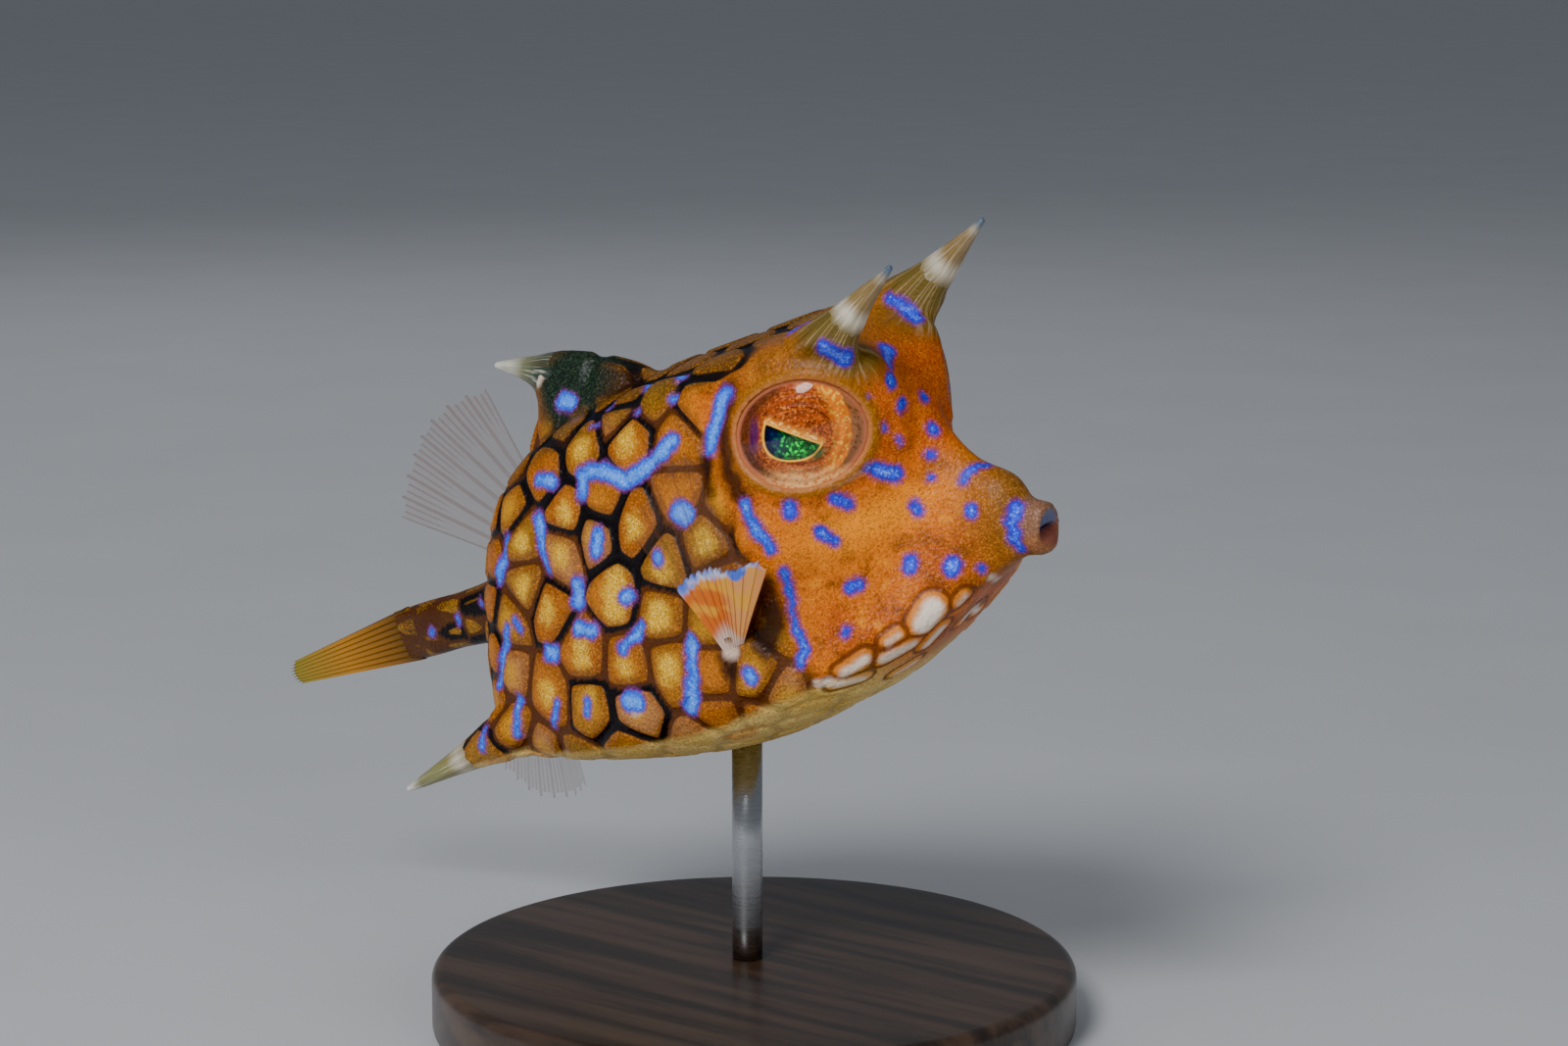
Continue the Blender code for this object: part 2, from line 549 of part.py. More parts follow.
def pose_matrix():
    turned_up = Matrix.Rotation(-NOSE_UP, 4, "Y") @ Matrix.Rotation(BANK, 4, "X")
    return Matrix.Translation((0.0, 0.0, CENTRE_HEIGHT)) @ turned_up


def build_fish():
    """Head, trunk and tail stalk parted from one skin, with the feet of what grows from them fused on."""
    pose = bpy.data.objects.new("swimming_pose", None)
    bpy.context.collection.objects.link(pose)
    matrix = pose_matrix()
    pose.location = matrix.translation * MM
    pose.rotation_euler = matrix.to_euler()
    body = body_mesh(has_plate)
    sides = (("right", False), ("left", True))
    head = cut(body, HEAD_END + GAP / 2, True, HEAD_END_LEAN)
    rest = cut(body, HEAD_END - GAP / 2, False, HEAD_END_LEAN)
    trunk = cut(rest, TAIL_START + GAP / 2, True)
    stalk = cut(cut(rest, TAIL_START - GAP / 2, False), FIN_START, True)

    skin = BVHTree.FromBMesh(body_mesh(lambda station, round_: False))
    raised, sunk = [lips()], [mouth_slot()]
    for _, mirror in sides:
        frame = eye_frame(mirror)
        rim = band([draped_ring(frame, skin, EYE_RADIUS + radius, height) for radius, height in RIM_PROFILE])
        raised.extend([spike("horn", mirror, free=False), rim, nostril(mirror, pit=False)])
        sunk.extend([eyeball(frame, skin, GAP), nostril(mirror, pit=True)])
    head = boolean(boolean(head, raised, "UNION"), sunk, "DIFFERENCE")
    trunk = boolean(trunk, [spike("rear_spine", mirror, free=False) for _, mirror in sides]
                    + [fin_stub(name) for name in FINS if name != "caudal_fin"]
                    + [spike("back_thorn", False, free=False)], "UNION")
    belly = BVHTree.FromBMesh(trunk)
    add("head", head, "head_skin", pose)
    add("trunk", trunk, "plate_skin", pose)
    add("tail_stalk", stalk, "tail_skin", pose)
    for side, mirror in sides:
        add(f"horn_{side}", spike("horn", mirror, free=True), "spine_horn", pose)
        add(f"rear_spine_{side}", spike("rear_spine", mirror, free=True), "spine_horn", pose)
        add(f"eye_{side}", eyeball(eye_frame(mirror), skin, 0.0), "eye", pose)
    add("back_thorn", spike("back_thorn", False, free=True), "spine_horn", pose)
    for name in FINS:
        add(name, fin_vane(name), "fin", pose)
    return belly


def build_stand(belly):
    """A turned disc, and one rod whose top follows the belly at the small gap that all the pieces keep."""
    flat, up = (1.0, 0.0, 0.0), (0.0, 1.0, 0.0)
    profile = ((BASE_RADIUS, 0.0), (BASE_RADIUS, BASE_THICK - BASE_BEVEL),
               (BASE_RADIUS - 0.3 * BASE_BEVEL, BASE_THICK - 0.3 * BASE_BEVEL),
               (BASE_RADIUS - BASE_BEVEL, BASE_THICK))
    rings = [ring((0.0, 0.0, z), flat, up, radius, radius, 64) for radius, z in profile]
    add("stand_base", loft(rings), "base_wood")
    to_fish = pose_matrix().inverted()
    centre = Vector(BODY_CENTRE)

    def belly_height(x, y):
        start = to_fish @ Vector((x, y, BASE_THICK)) + centre
        upward = to_fish.to_3x3() @ Vector((0.0, 0.0, 1.0))
        return BASE_THICK + belly.ray_cast(start, upward)[3]

    foot = ring((*ROD_PLACE, BASE_THICK + GAP), flat, up, ROD_RADIUS, ROD_RADIUS, ROD_SIDES)
    top = np.array([(x, y, belly_height(x, y) - GAP) for x, y, _ in foot])
    peak = (*ROD_PLACE, belly_height(*ROD_PLACE) - GAP)
    add("stand_rod", loft([foot, top], cap_tip=peak), "rod_steel")


clear_scene()
build_stand(build_fish())
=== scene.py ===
"""The looks of a thornback cowfish, a life-size still model on a plain display stand."""
import math

import bpy
import numpy as np
from mathutils import Matrix, Vector


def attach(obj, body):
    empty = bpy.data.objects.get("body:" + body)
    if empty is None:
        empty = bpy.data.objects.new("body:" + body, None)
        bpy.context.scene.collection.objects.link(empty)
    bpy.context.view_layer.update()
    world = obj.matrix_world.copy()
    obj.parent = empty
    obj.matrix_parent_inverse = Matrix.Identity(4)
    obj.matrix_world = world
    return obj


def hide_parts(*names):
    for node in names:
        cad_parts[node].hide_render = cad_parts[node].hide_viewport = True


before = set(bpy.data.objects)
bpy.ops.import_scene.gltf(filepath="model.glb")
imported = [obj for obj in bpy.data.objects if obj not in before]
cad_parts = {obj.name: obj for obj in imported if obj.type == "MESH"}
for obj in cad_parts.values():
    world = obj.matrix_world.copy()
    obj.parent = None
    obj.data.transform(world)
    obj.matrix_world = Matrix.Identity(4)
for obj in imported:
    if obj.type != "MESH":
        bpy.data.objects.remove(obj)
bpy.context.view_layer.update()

MM = 0.001
# The fish's right side, which the photo shows, and its left side
SIDES = {"right": 1.0, "left": -1.0}

# The swimming pose, about the middle of the body
BODY_CENTRE = np.array([-42.0, 0.0, 5.0])
CENTRE_HEIGHT = 54.0
NOSE_UP, BANK = math.radians(17.4), math.radians(11.7)

# The camera: its place in millimetres, its view direction, its frame and focal length in pixels
EYE_POINT = np.array([256.75, -317.85, CENTRE_HEIGHT + 74.58])
VIEW_LINE = np.array([-0.6126, 0.7711, -0.1736])
FRAME_WIDTH, FRAME_HEIGHT = 1600, 1067
FOCAL_PIXELS, SENSOR_WIDTH = 3860.3, 36.0

# The box of the body, one row for each station from the lips to the tail fin: middle of the back (x, z),
# upper ridge (x, y, z), lower ridge (x, y, z), middle of the belly (x, z), bulge of back, flank and belly
STATIONS = np.array([
    (-3.9, 0.1, -4.0, 1.1, -0.2, -4.3, 1.1, -1.3, -4.5, -1.7, 0.1, 0.1, 0.1),
    (-2.6, 1.6, -3.0, 1.7, 0.7, -4.2, 1.7, -2.5, -4.8, -3.3, 0.3, 0.5, 0.3),
    (-4.8, 2.9, -5.3, 1.9, 1.9, -6.5, 2.0, -2.3, -7.0, -3.0, 0.4, 0.5, 0.3),
    (-5.9, 5.6, -7.0, 2.7, 4.2, -9.1, 3.2, -3.0, -9.6, -3.8, 0.5, 0.6, 0.3),
    (-9.2, 8.3, -10.9, 2.5, 7.4, -12.1, 5.9, -4.3, -13.1, -5.3, 0.4, 0.7, 0.4),
    (-11.1, 11.8, -13.4, 2.9, 12.7, -15.4, 9.4, -5.6, -16.9, -7.6, 0.2, -0.5, 0.7),
    (-12.9, 17.0, -12.9, 5.0, 18.6, -20.2, 13.4, -6.8, -21.7, -10.3, -0.2, -2.3, 1.2),
    (-15.0, 22.0, -12.2, 6.6, 23.4, -25.2, 16.9, -7.5, -27.0, -12.7, -0.5, -2.1, 1.5),
    (-18.5, 25.0, -17.6, 9.3, 26.6, -31.2, 19.2, -8.0, -33.5, -14.2, -0.3, 0.4, 1.7),
    (-26.0, 26.5, -25.0, 10.4, 27.1, -38.0, 20.0, -8.9, -40.5, -15.6, 0.0, 1.3, 1.8),
    (-35.5, 27.0, -34.0, 10.2, 26.4, -45.0, 20.0, -9.15, -47.5, -16.1, 0.1, 1.3, 1.8),
    (-45.0, 26.7, -43.0, 9.8, 25.3, -52.0, 19.6, -9.1, -54.5, -15.8, 0.2, 1.4, 1.7),
    (-54.0, 25.6, -51.5, 9.2, 24.2, -59.5, 18.7, -8.8, -61.0, -15.0, 0.3, 1.5, 1.6),
    (-62.5, 23.8, -59.5, 8.6, 22.8, -67.0, 17.3, -8.6, -67.0, -13.9, 0.3, 1.6, 1.4),
    (-69.5, 20.3, -67.3, 8.2, 19.2, -73.4, 15.4, -7.9, -72.2, -12.0, 0.4, 1.7, 1.0),
    (-75.0, 15.2, -73.0, 6.6, 14.4, -76.6, 12.2, -5.0, -74.8, -8.0, 0.5, 1.2, 0.6),
    (-78.4, 11.0, -77.0, 4.3, 10.6, -78.6, 7.4, -0.6, -77.0, -2.6, 0.4, 0.6, 0.4),
    (-81.0, 9.0, -80.8, 2.4, 8.2, -81.0, 3.0, 2.0, -80.6, 0.9, 0.3, 0.4, 0.3),
    (-86.5, 8.4, -86.5, 1.9, 7.4, -87.0, 2.1, 2.6, -87.5, 1.7, 0.2, 0.3, 0.2),
    (-92.0, 8.3, -92.0, 1.6, 7.4, -92.5, 1.7, 2.4, -93.0, 1.6, 0.2, 0.2, 0.2),
    (-98.5, 8.1, -98.5, 1.2, 7.3, -98.5, 1.2, 2.2, -98.5, 1.4, 0.1, 0.1, 0.1),
])
LAST_STATION = len(STATIONS) - 1
# Places round the section, from 0 at the back, and how far the ridges are rounded, with the offsets for it
UPPER_RIDGE, LOWER_RIDGE, BELLY_LINE = 1.5, 6.5, 9.5
RIDGE_SOFTNESS = 0.45
RIDGE_SPREAD = (-1.0, -0.72, -0.5, -0.25, 0.25, 0.5, 0.72, 1.0)
# The lattice of plates: the stations of its columns, and plates round each column
COLUMN_STATIONS = (0.35, 1.0, 1.8, 2.8, 3.8, 4.7, 5.5, 6.25, 7.0, 7.7, 8.4, 9.05, 9.7, 10.35, 11.0, 11.65,
                   12.3, 12.95, 13.6, 14.3, 15.1, 16.0, 17.2, 18.6, 20.0)
PLATES_ROUND = 19

# Spikes of the right side and the middle, foot to tip: middle (x, y, z) of each oval section, its half
# height, its half width, and how far the section leans back from upright, in degrees
SPIKES = {
    "horn": ((-18.4, -7.7, 22.4, 5.65, 2.9, 27.0), (-15.55, -8.1, 24.7, 3.8, 2.5, 27.0),
             (-13.25, -8.5, 26.4, 2.35, 2.0, 27.0), (-11.2, -8.8, 27.4, 1.8, 1.6, 27.0),
             (-9.5, -8.9, 28.3, 1.35, 1.25, 27.0), (-7.7, -8.9, 29.2, 0.96, 0.9, 27.0),
             (-5.8, -8.9, 30.1, 0.55, 0.55, 27.0), (-4.1, -8.9, 31.0, 0.3, 0.3, 27.0)),
    "rear_spine": ((-69.0, -13.0, -5.4, 3.8, 3.4, 10.0), (-72.5, -13.9, -6.0, 3.35, 3.1, 10.0),
                   (-75.5, -14.1, -6.7, 2.75, 2.6, 10.0), (-78.5, -14.1, -7.3, 2.15, 2.1, 10.0),
                   (-81.5, -14.0, -7.95, 1.7, 1.7, 10.0), (-84.5, -13.9, -8.55, 1.3, 1.3, 10.0),
                   (-87.6, -13.8, -9.2, 0.95, 0.95, 10.0), (-90.5, -13.7, -9.8, 0.62, 0.62, 10.0),
                   (-93.1, -13.6, -10.3, 0.3, 0.3, 10.0)),
    "back_thorn": ((-55.0, 0.0, 22.5, 12.0, 5.4, -90.0), (-55.8, 0.0, 25.6, 9.3, 4.1, -84.0),
                   (-57.6, 0.0, 27.8, 6.6, 2.9, -76.0), (-60.0, 0.0, 29.4, 4.1, 1.9, -62.0),
                   (-62.6, 0.0, 30.5, 2.0, 1.25, -38.0), (-65.2, 0.0, 31.5, 1.05, 0.85, -22.0),
                   (-68.2, 0.0, 32.5, 0.3, 0.3, -18.0)),
}

# Eyes
EYE_STATION, EYE_ROUND = 7.9, 2.81
EYE_RADIUS, EYE_LENGTHEN = 5.65, 1.25
EYE_LINE = np.array([1.0, 0.0, -0.12])
# How far the iris and cornea reach, how deep they and their socket go, and their rise, sink and thickness
EYE_REACH, SOCKET_DEPTH = EYE_RADIUS + 0.25, 2.6
IRIS_RISE, PUPIL_SINK, CORNEA_THICK = 0.35, 0.55, 0.22
EYE_RINGS, EYE_SIDES = 90, 128
# How far the eye's long axis is turned from level as the camera sees it
EYE_TILT = math.radians(9.6)

# Fins: ends of the root line, points of the outer edge, number of rays
FINS = {
    "pectoral_fin_right": (((-35.0, -18.3, -2.5), (-33.1, -18.1, -1.9)),
                           ((-36.7, -23.2, 13.3), (-32.5, -24.2, 17.3), (-28.1, -24.8, 19.9),
                            (-25.0, -24.6, 20.0), (-24.2, -24.2, 15.4), (-23.8, -23.9, 10.5),
                            (-22.7, -23.6, 8.1), (-22.0, -23.2, 6.5)), 11),
    "pectoral_fin_left": (((-35.0, 18.2, -2.0), (-32.4, 17.4, 0.6)),
                          ((-46.5, 22.6, 2.0), (-47.2, 23.4, 6.2), (-45.8, 24.0, 10.2), (-43.0, 24.2, 13.2),
                           (-39.4, 24.0, 14.2), (-36.4, 23.6, 12.0), (-34.0, 23.0, 8.4)), 11),
    "dorsal_fin": (((-69.0, 0.0, 18.6), (-76.8, 0.0, 10.2)),
                   ((-71.3, 0.0, 30.0), (-76.0, 0.0, 29.8), (-81.0, 0.0, 28.2), (-85.2, 0.0, 25.6),
                    (-88.5, 0.0, 22.2), (-90.6, 0.0, 18.6)), 9),
    "anal_fin": (((-76.4, 0.0, -0.4), (-80.8, 0.0, 2.4)),
                 ((-79.0, 0.0, -17.4), (-82.6, 0.0, -18.4), (-86.9, 0.0, -17.2), (-91.0, 0.0, -13.7)), 9),
    "caudal_fin": (((-96.2, 0.0, 1.5), (-96.2, 0.0, 8.1)),
                   ((-117.8, 0.0, 2.2), (-118.5, 0.0, 3.1), (-118.5, 0.0, 4.1), (-117.7, 0.0, 5.1)), 9),
}

# How far along its rays the opaque fan at the pectoral fin's root reaches, at places across the fin
FAN_EDGE = (0.55, 0.485, 0.43, 0.42, 0.5, 0.72, 0.97, 1.05)
FAN_PLACES = (0.0, 0.14, 0.28, 0.43, 0.57, 0.71, 0.86, 1.0)
FIN_ROWS = 90
# The pale knob at the right pectoral fin's root
FIN_KNOB = (-34.1, -18.9, -1.6)

# Stand
BASE_RADIUS, BASE_THICK, BASE_BEVEL = 36.0, 7.0, 1.4
ROD_RADIUS, ROD_PLACE = 1.7, (-1.0, 0.0)

# Floor, and lamps: name, place and width in metres, power in watts; all turned to one point
FLOOR_REACH = 3.0
LAMPS = (("key", (0.12, -0.62, 0.62), 0.3, 8.0), ("fill", (0.75, -0.25, 0.28), 0.5, 2.6),
         ("rim", (-0.55, 0.42, 0.5), 0.4, 1.0), ("low", (-0.1, -0.7, 0.03), 0.4, 5.5))
LAMP_TARGET = (0.0, 0.0, 0.055)

# Marks of the right side, each its half width and then x and y of the photo pixels along its line
BLUE_MARKS = (
    (10, 841, 358, 861, 368), (7.5, 908, 303, 936, 324), (9, 907, 354, 908, 368), (8.5, 910, 386, 911, 389),
    (6, 945, 402, 945, 404), (5.5, 922, 414, 922, 416), (3, 887, 405, 888, 406), (5, 903, 434, 903, 438),
    (6, 953, 434, 954, 436), (3.5, 916, 450, 917, 455), (6, 948, 462, 951, 462), (5, 947, 486, 947, 487),
    (6, 886, 477, 896, 480), (8.5, 896, 480, 915, 483), (5, 1012, 471, 1000, 474, 987, 480),
    (5.5, 986, 481, 984, 489), (2.5, 802, 338, 824, 326), (6, 989, 521, 989, 525),
    (8.5, 1036, 517, 1030, 535), (8, 1030, 535, 1034, 552), (5.5, 1034, 552, 1042, 562),
    (7, 932, 519, 933, 520), (7, 853, 509, 865, 514), (8, 805, 516, 805, 522), (7, 839, 544, 853, 553),
    (8, 927, 572, 927, 579), (9, 971, 575, 971, 581), (5, 1003, 580, 1003, 582), (7, 869, 600, 879, 597),
    (5, 862, 642, 862, 644), (7, 758, 514, 764, 528, 771, 543, 785, 560),
    (5, 800, 586, 806, 615, 811, 643, 822, 665, 813, 681), (9, 738, 401, 733, 414, 727, 436, 723, 454),
    (9, 592, 503, 590, 485, 611, 479, 634, 490, 653, 479, 673, 461, 687, 448), (8, 549, 490, 560, 490),
    (7, 547, 526, 550, 560, 557, 581), (6, 514, 550, 511, 571, 505, 589), (10, 608, 548, 608, 558),
    (10, 586, 598, 587, 612), (9, 635, 607, 640, 607), (8, 671, 565, 671, 569), (14, 692, 525, 695, 525),
    (9, 589, 644, 601, 644), (7, 634, 662, 653, 641), (10, 557, 665, 563, 665), (5, 523, 634, 531, 644),
    (6, 517, 642, 511, 668, 506, 700), (6, 527, 715, 527, 751), (5, 569, 720, 564, 741),
    (6, 599, 717, 599, 727), (11, 641, 717, 649, 717), (9, 704, 657, 706, 689, 702, 726),
    (8, 765, 688, 765, 692), (5, 694, 381, 694, 382), (4, 657, 394, 661, 390), (4, 619, 412, 624, 409),
    (4, 683, 405, 688, 403), (4, 646, 418, 650, 416), (4, 603, 432, 607, 430), (10, 570, 410, 580, 410),
    (6, 489, 762, 492, 742), (5, 439, 645, 440, 650), (4, 466, 631, 466, 636), (4, 488, 613, 490, 617),
)
# Dark marks: dark patches of skin, and painted shade behind the eye and the right pectoral fin's cast shadow
DARK_AND_SHADE_MARKS = (
    (10, 742, 396, 737, 440, 741, 480, 756, 508), (13, 775, 600, 790, 630, 780, 660),
    (15, 600, 388, 640, 390), (12, 575, 392, 570, 430), (7, 735, 655, 742, 690), (6, 716, 470, 722, 500),
)
PALE_MARKS = (
    (6, 505, 372, 552, 373), (5, 645, 724, 650, 725), (5, 838, 700, 845, 698),
    (2, 804, 490, 840, 497, 872, 486, 884, 474), (3.5, 1013, 590, 1019, 594), (3, 871, 484, 888, 478),
)
GOLD_MARKS = (
    (12, 636, 446, 636, 452), (8, 591, 456, 592, 456), (12, 671, 624, 671, 632), (11, 592, 664, 592, 672),
    (11, 681, 680, 681, 686), (14, 626, 585, 626, 622), (9, 556, 704, 556, 710), (8, 530, 552, 532, 556),
    (8, 570, 563, 570, 567), (8, 532, 595, 532, 600), (9, 719, 549, 719, 555), (9, 645, 534, 645, 540),
    (9, 575, 522, 575, 530), (8, 557, 619, 557, 627), (8, 674, 585, 676, 592), (8, 599, 700, 599, 706),
    (7, 637, 679, 637, 684),
)
# Plates of the right side, by the photo pixel of their middle, and those whose border is near black
PLATE_PIXELS = (
    (636, 449), (591, 456), (551, 477), (575, 526), (611, 508), (645, 537), (674, 575), (626, 606),
    (557, 623), (671, 628), (592, 668), (637, 681), (681, 683), (599, 720), (556, 707), (530, 552),
    (532, 597), (570, 563), (517, 519), (605, 545), (647, 722), (719, 552), (726, 683), (765, 691),
    (691, 367), (667, 397), (637, 406), (628, 419), (735, 363), (805, 712), (690, 500), (735, 600),
    (720, 640), (690, 455),
)
DARK_PLATES = ((575, 526), (645, 537), (674, 575), (626, 606), (557, 623), (599, 720), (605, 545), (517, 519),
               (551, 477), (591, 456), (636, 449), (647, 722), (611, 508))
# Pale cells along the jaw, each its half width and then both ends of a short line of photo pixels
JAW_CELLS = (
    (10, 943, 640, 953, 624), (6, 903, 674, 930, 660), (4.5, 860, 689, 884, 675), (5.5, 946, 659, 961, 643),
    (4, 982, 636, 999, 621), (3.5, 916, 688, 934, 677), (4.5, 854, 701, 880, 694),
    (2.5, 906, 657, 917, 649), (2.5, 980, 617, 987, 610),
)
JAW_OUTLINE, JAW_RAISE = 0.95, 0.22
# Size of a pixel at the fish, half width of the forehead, and of the band of plates along the middle, in mm
PIXEL_MM, FOREHEAD_HALF, MIDDLE_BAND = 0.117, 6.0, 1.2
# Edge of the voxels that the flesh is grown from, height of a plate and width of its sloping border
VOXEL, PLATE_RAISE, PLATE_SLOPE = 0.36, 0.42, 1.1
SEED = 11

# Lips: their level, how much wider than high they are, and their points round the mouth and round the section
LIPS_LEVEL, LIPS_WIDEN = -0.75, 1.08
LIPS_AROUND, LIPS_SECTION = 72, 28
# Nostrils: their place on the box, and the radius and height of each ring
NOSTRIL_STATION, NOSTRIL_ROUND = 5.6, 2.2
NOSTRIL_PROFILE = np.array([(1.25, -1.0), (1.1, -0.2), (0.9, 0.25), (0.7, 0.5), (0.4, 0.55)])

SPIKE_SIDES, SPIKE_ROWS = 64, 90
# The row of its table at which a spike parts from the skin, and how many rows before it its own piece starts
SPIKE_PARTINGS, SPIKE_OVERLAP = {"horn": 2.7, "rear_spine": 3.6, "back_thorn": 3.5}, 0.55


def unit(vectors):
    """Vectors brought to a length of 1."""
    return vectors / (np.linalg.norm(vectors, axis=-1, keepdims=True) + 1e-12)


def smooth(low, high, value):
    """A cubic step from 0 at low to 1 at high."""
    share = np.clip((value - low) / (high - low), 0.0, 1.0)
    return share * share * (3.0 - 2.0 * share)


def turns(count):
    """Angles spread evenly once round."""
    return np.linspace(0, 2 * np.pi, count, endpoint=False)


def flip(side):
    """What brings a point of the right side to the given side."""
    return np.array([1.0, side, 1.0])


def pose_rotation():
    """The turn from the fish's frame to the upright one: banked, then nose up."""
    return np.array((Matrix.Rotation(-NOSE_UP, 3, "Y") @ Matrix.Rotation(BANK, 3, "X")))


def to_world(points):
    """Fish's frame in millimetres to shared frame in metres: turned about the body's middle, then raised."""
    return ((points - BODY_CENTRE) @ pose_rotation().T + (0.0, 0.0, CENTRE_HEIGHT)) * MM


def camera_axes():
    """The camera's right, upward and forward directions."""
    forward = unit(VIEW_LINE)
    right = unit(np.cross(forward, (0.0, 0.0, 1.0)))
    return right, np.cross(right, forward), forward


def to_pixels(points):
    """Where the camera sees points of the fish's frame, in pixels of the 1600 x 1067 frame."""
    right, upward, forward = camera_axes()
    away = to_world(points) / MM - EYE_POINT
    depth = away @ forward
    return np.stack([FRAME_WIDTH / 2 + FOCAL_PIXELS * (away @ right) / depth,
                     FRAME_HEIGHT / 2 - FOCAL_PIXELS * (away @ upward) / depth], -1)


def spline(table, steps):
    """Rows of a table read as a smooth (Catmull-Rom) curve at real row numbers."""
    steps = np.clip(steps, 0, len(table) - 1 - 1e-9)
    index = steps.astype(int)
    f = (steps - index)[..., None]
    rows = np.concatenate([2 * table[:1] - table[1:2], table, 2 * table[-1:] - table[-2:-1]])
    a, b, c, d = rows[index], rows[index + 1], rows[index + 2], rows[index + 3]
    return b + f * ((c - a) / 2 + f * (a - 2.5 * b + 2 * c - d / 2 + f * (1.5 * b - 1.5 * c + (d - a) / 2)))


def box_point(station, round_):
    """A point of the five-sided box: straight panels between ridges, each bulged outwards as a parabola."""
    row = spline(STATIONS, station)
    zero = np.zeros(row.shape[:-1])
    back = np.stack([row[..., 0], zero, row[..., 1]], -1)
    belly = np.stack([row[..., 8], zero, row[..., 9]], -1)
    upper, lower = row[..., 2:5], row[..., 5:8]
    signed = (round_ + BELLY_LINE) % (2 * BELLY_LINE) - BELLY_LINE
    w = np.abs(signed)[..., None]
    on_back, on_flank = w < UPPER_RIDGE, w < LOWER_RIDGE
    start = np.where(on_back, back, np.where(on_flank, upper, lower))
    end = np.where(on_back, upper, np.where(on_flank, lower, belly))
    f = np.where(on_back, w / UPPER_RIDGE, np.where(on_flank, (w - UPPER_RIDGE) / (LOWER_RIDGE - UPPER_RIDGE),
                                                    (w - LOWER_RIDGE) / (BELLY_LINE - LOWER_RIDGE)))
    bulge = np.where(on_back, row[..., 10:11], np.where(on_flank, row[..., 11:12], row[..., 12:13]))
    axis = (back + belly + upper + lower) / 4 * np.array([1.0, 0.0, 1.0])
    across = unit(end - start)
    outward = (start + end) / 2 - axis
    outward = unit(outward - (outward * across).sum(-1, keepdims=True) * across)
    point = start + (end - start) * f + outward * bulge * 4 * f * (1 - f)
    point[..., 1] *= np.where(signed < 0, 1.0, -1.0)
    return point


def skin_point(station, round_):
    """The box with its ridges rounded: the mean of points spread round the section."""
    station, round_ = np.broadcast_arrays(np.asarray(station, float), np.asarray(round_, float))
    return sum(box_point(station, round_ + offset * RIDGE_SOFTNESS)
               for offset in RIDGE_SPREAD) / len(RIDGE_SPREAD)


def skin_normal(station, round_, reach):
    """The skin's outward direction: the cross product of its steps along the body and round it."""
    along_body = skin_point(station + reach, round_) - skin_point(station - reach, round_)
    round_body = skin_point(station, round_ + reach) - skin_point(station, round_ - reach)
    return unit(np.cross(along_body, round_body))


def new_mesh(name, points, faces):
    """A mesh from an array of points and arrays of faces."""
    mesh = bpy.data.meshes.new(name)
    loops = np.concatenate([block.ravel() for block in faces])
    sizes = np.concatenate([np.full(len(block), block.shape[1]) for block in faces])
    mesh.vertices.add(len(points))
    mesh.vertices.foreach_set("co", points.astype(np.float32).ravel())
    mesh.loops.add(len(loops))
    mesh.loops.foreach_set("vertex_index", loops.astype(np.int32))
    mesh.polygons.add(len(sizes))
    mesh.polygons.foreach_set("loop_start", np.concatenate([[0], np.cumsum(sizes)[:-1]]).astype(np.int32))
    mesh.update(calc_edges=True)
    return mesh


def outward_faces(points, faces):
    """Faces of a closed surface, turned round where the volume inside them would come out negative."""
    volume = 0.0
    for block in faces:
        a = points[block[:, 0]]
        for k in range(1, block.shape[1] - 1):
            volume += (a * np.cross(points[block[:, k]], points[block[:, k + 1]])).sum()
    return [block[:, ::-1] for block in faces] if volume < 0 else faces


def mesh_piece(name, placed, faces, made, replaced, values=None):
    """A piece of the model from points in metres and arrays of faces, with named values for each point."""
    mesh = new_mesh(name, placed, outward_faces(placed, faces))
    for key, value in (values or {}).items():
        mesh.attributes.new(key, "FLOAT", "POINT").data.foreach_set("value", value.astype(np.float32).ravel())
    mesh.validate()
    mesh.shade_smooth()
    mesh.materials.append(made)
    piece = bpy.data.objects.new(name, mesh)
    bpy.context.scene.collection.objects.link(piece)
    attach(piece, "root")
    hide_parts(*replaced)
    return piece


def tube_faces(rows, sides):
    """Quads between rings of points, each ring closed on itself."""
    row, side = np.meshgrid(np.arange(rows - 1), np.arange(sides), indexing="ij")
    low, high, following = row * sides, (row + 1) * sides, (side + 1) % sides
    return np.stack([low + side, low + following, high + following, high + side], -1).reshape(-1, 4)


def capped_tube(rings, ends=None):
    """A tube of rings closed by a point at each end, by default the middle of the ring there."""
    rows, sides = rings.shape[:2]
    if ends is None:
        ends = rings[0].mean(0), rings[-1].mean(0)
    count, last_ring = rows * sides, (rows - 1) * sides
    side = np.arange(sides)
    following = (side + 1) % sides
    first = np.stack([following, side, np.full(sides, count)], -1)
    last = np.stack([last_ring + side, last_ring + following, np.full(sides, count + 1)], -1)
    return np.concatenate([rings.reshape(-1, 3), np.stack(ends)]), [tube_faces(rows, sides), first, last]


def sheet_solid(front, back):
    """A closed vane from two grids of points, joined round their border."""
    rows, columns = front.shape[:2]
    shift = rows * columns
    row, column = np.meshgrid(np.arange(rows - 1), np.arange(columns - 1), indexing="ij")
    a = (row * columns + column).ravel()
    quads = np.stack([a, a + 1, a + columns + 1, a + columns], -1)
    border = np.concatenate([np.arange(columns - 1), np.arange(rows - 1) * columns + columns - 1,
                             (rows - 1) * columns + np.arange(columns - 1, 0, -1),
                             np.arange(rows - 1, 0, -1) * columns])
    following = np.roll(border, -1)
    rim = np.stack([following, border, border + shift, following + shift], -1)
    return np.concatenate([front.reshape(-1, 3), back.reshape(-1, 3)]), [quads, quads[:, ::-1] + shift, rim]


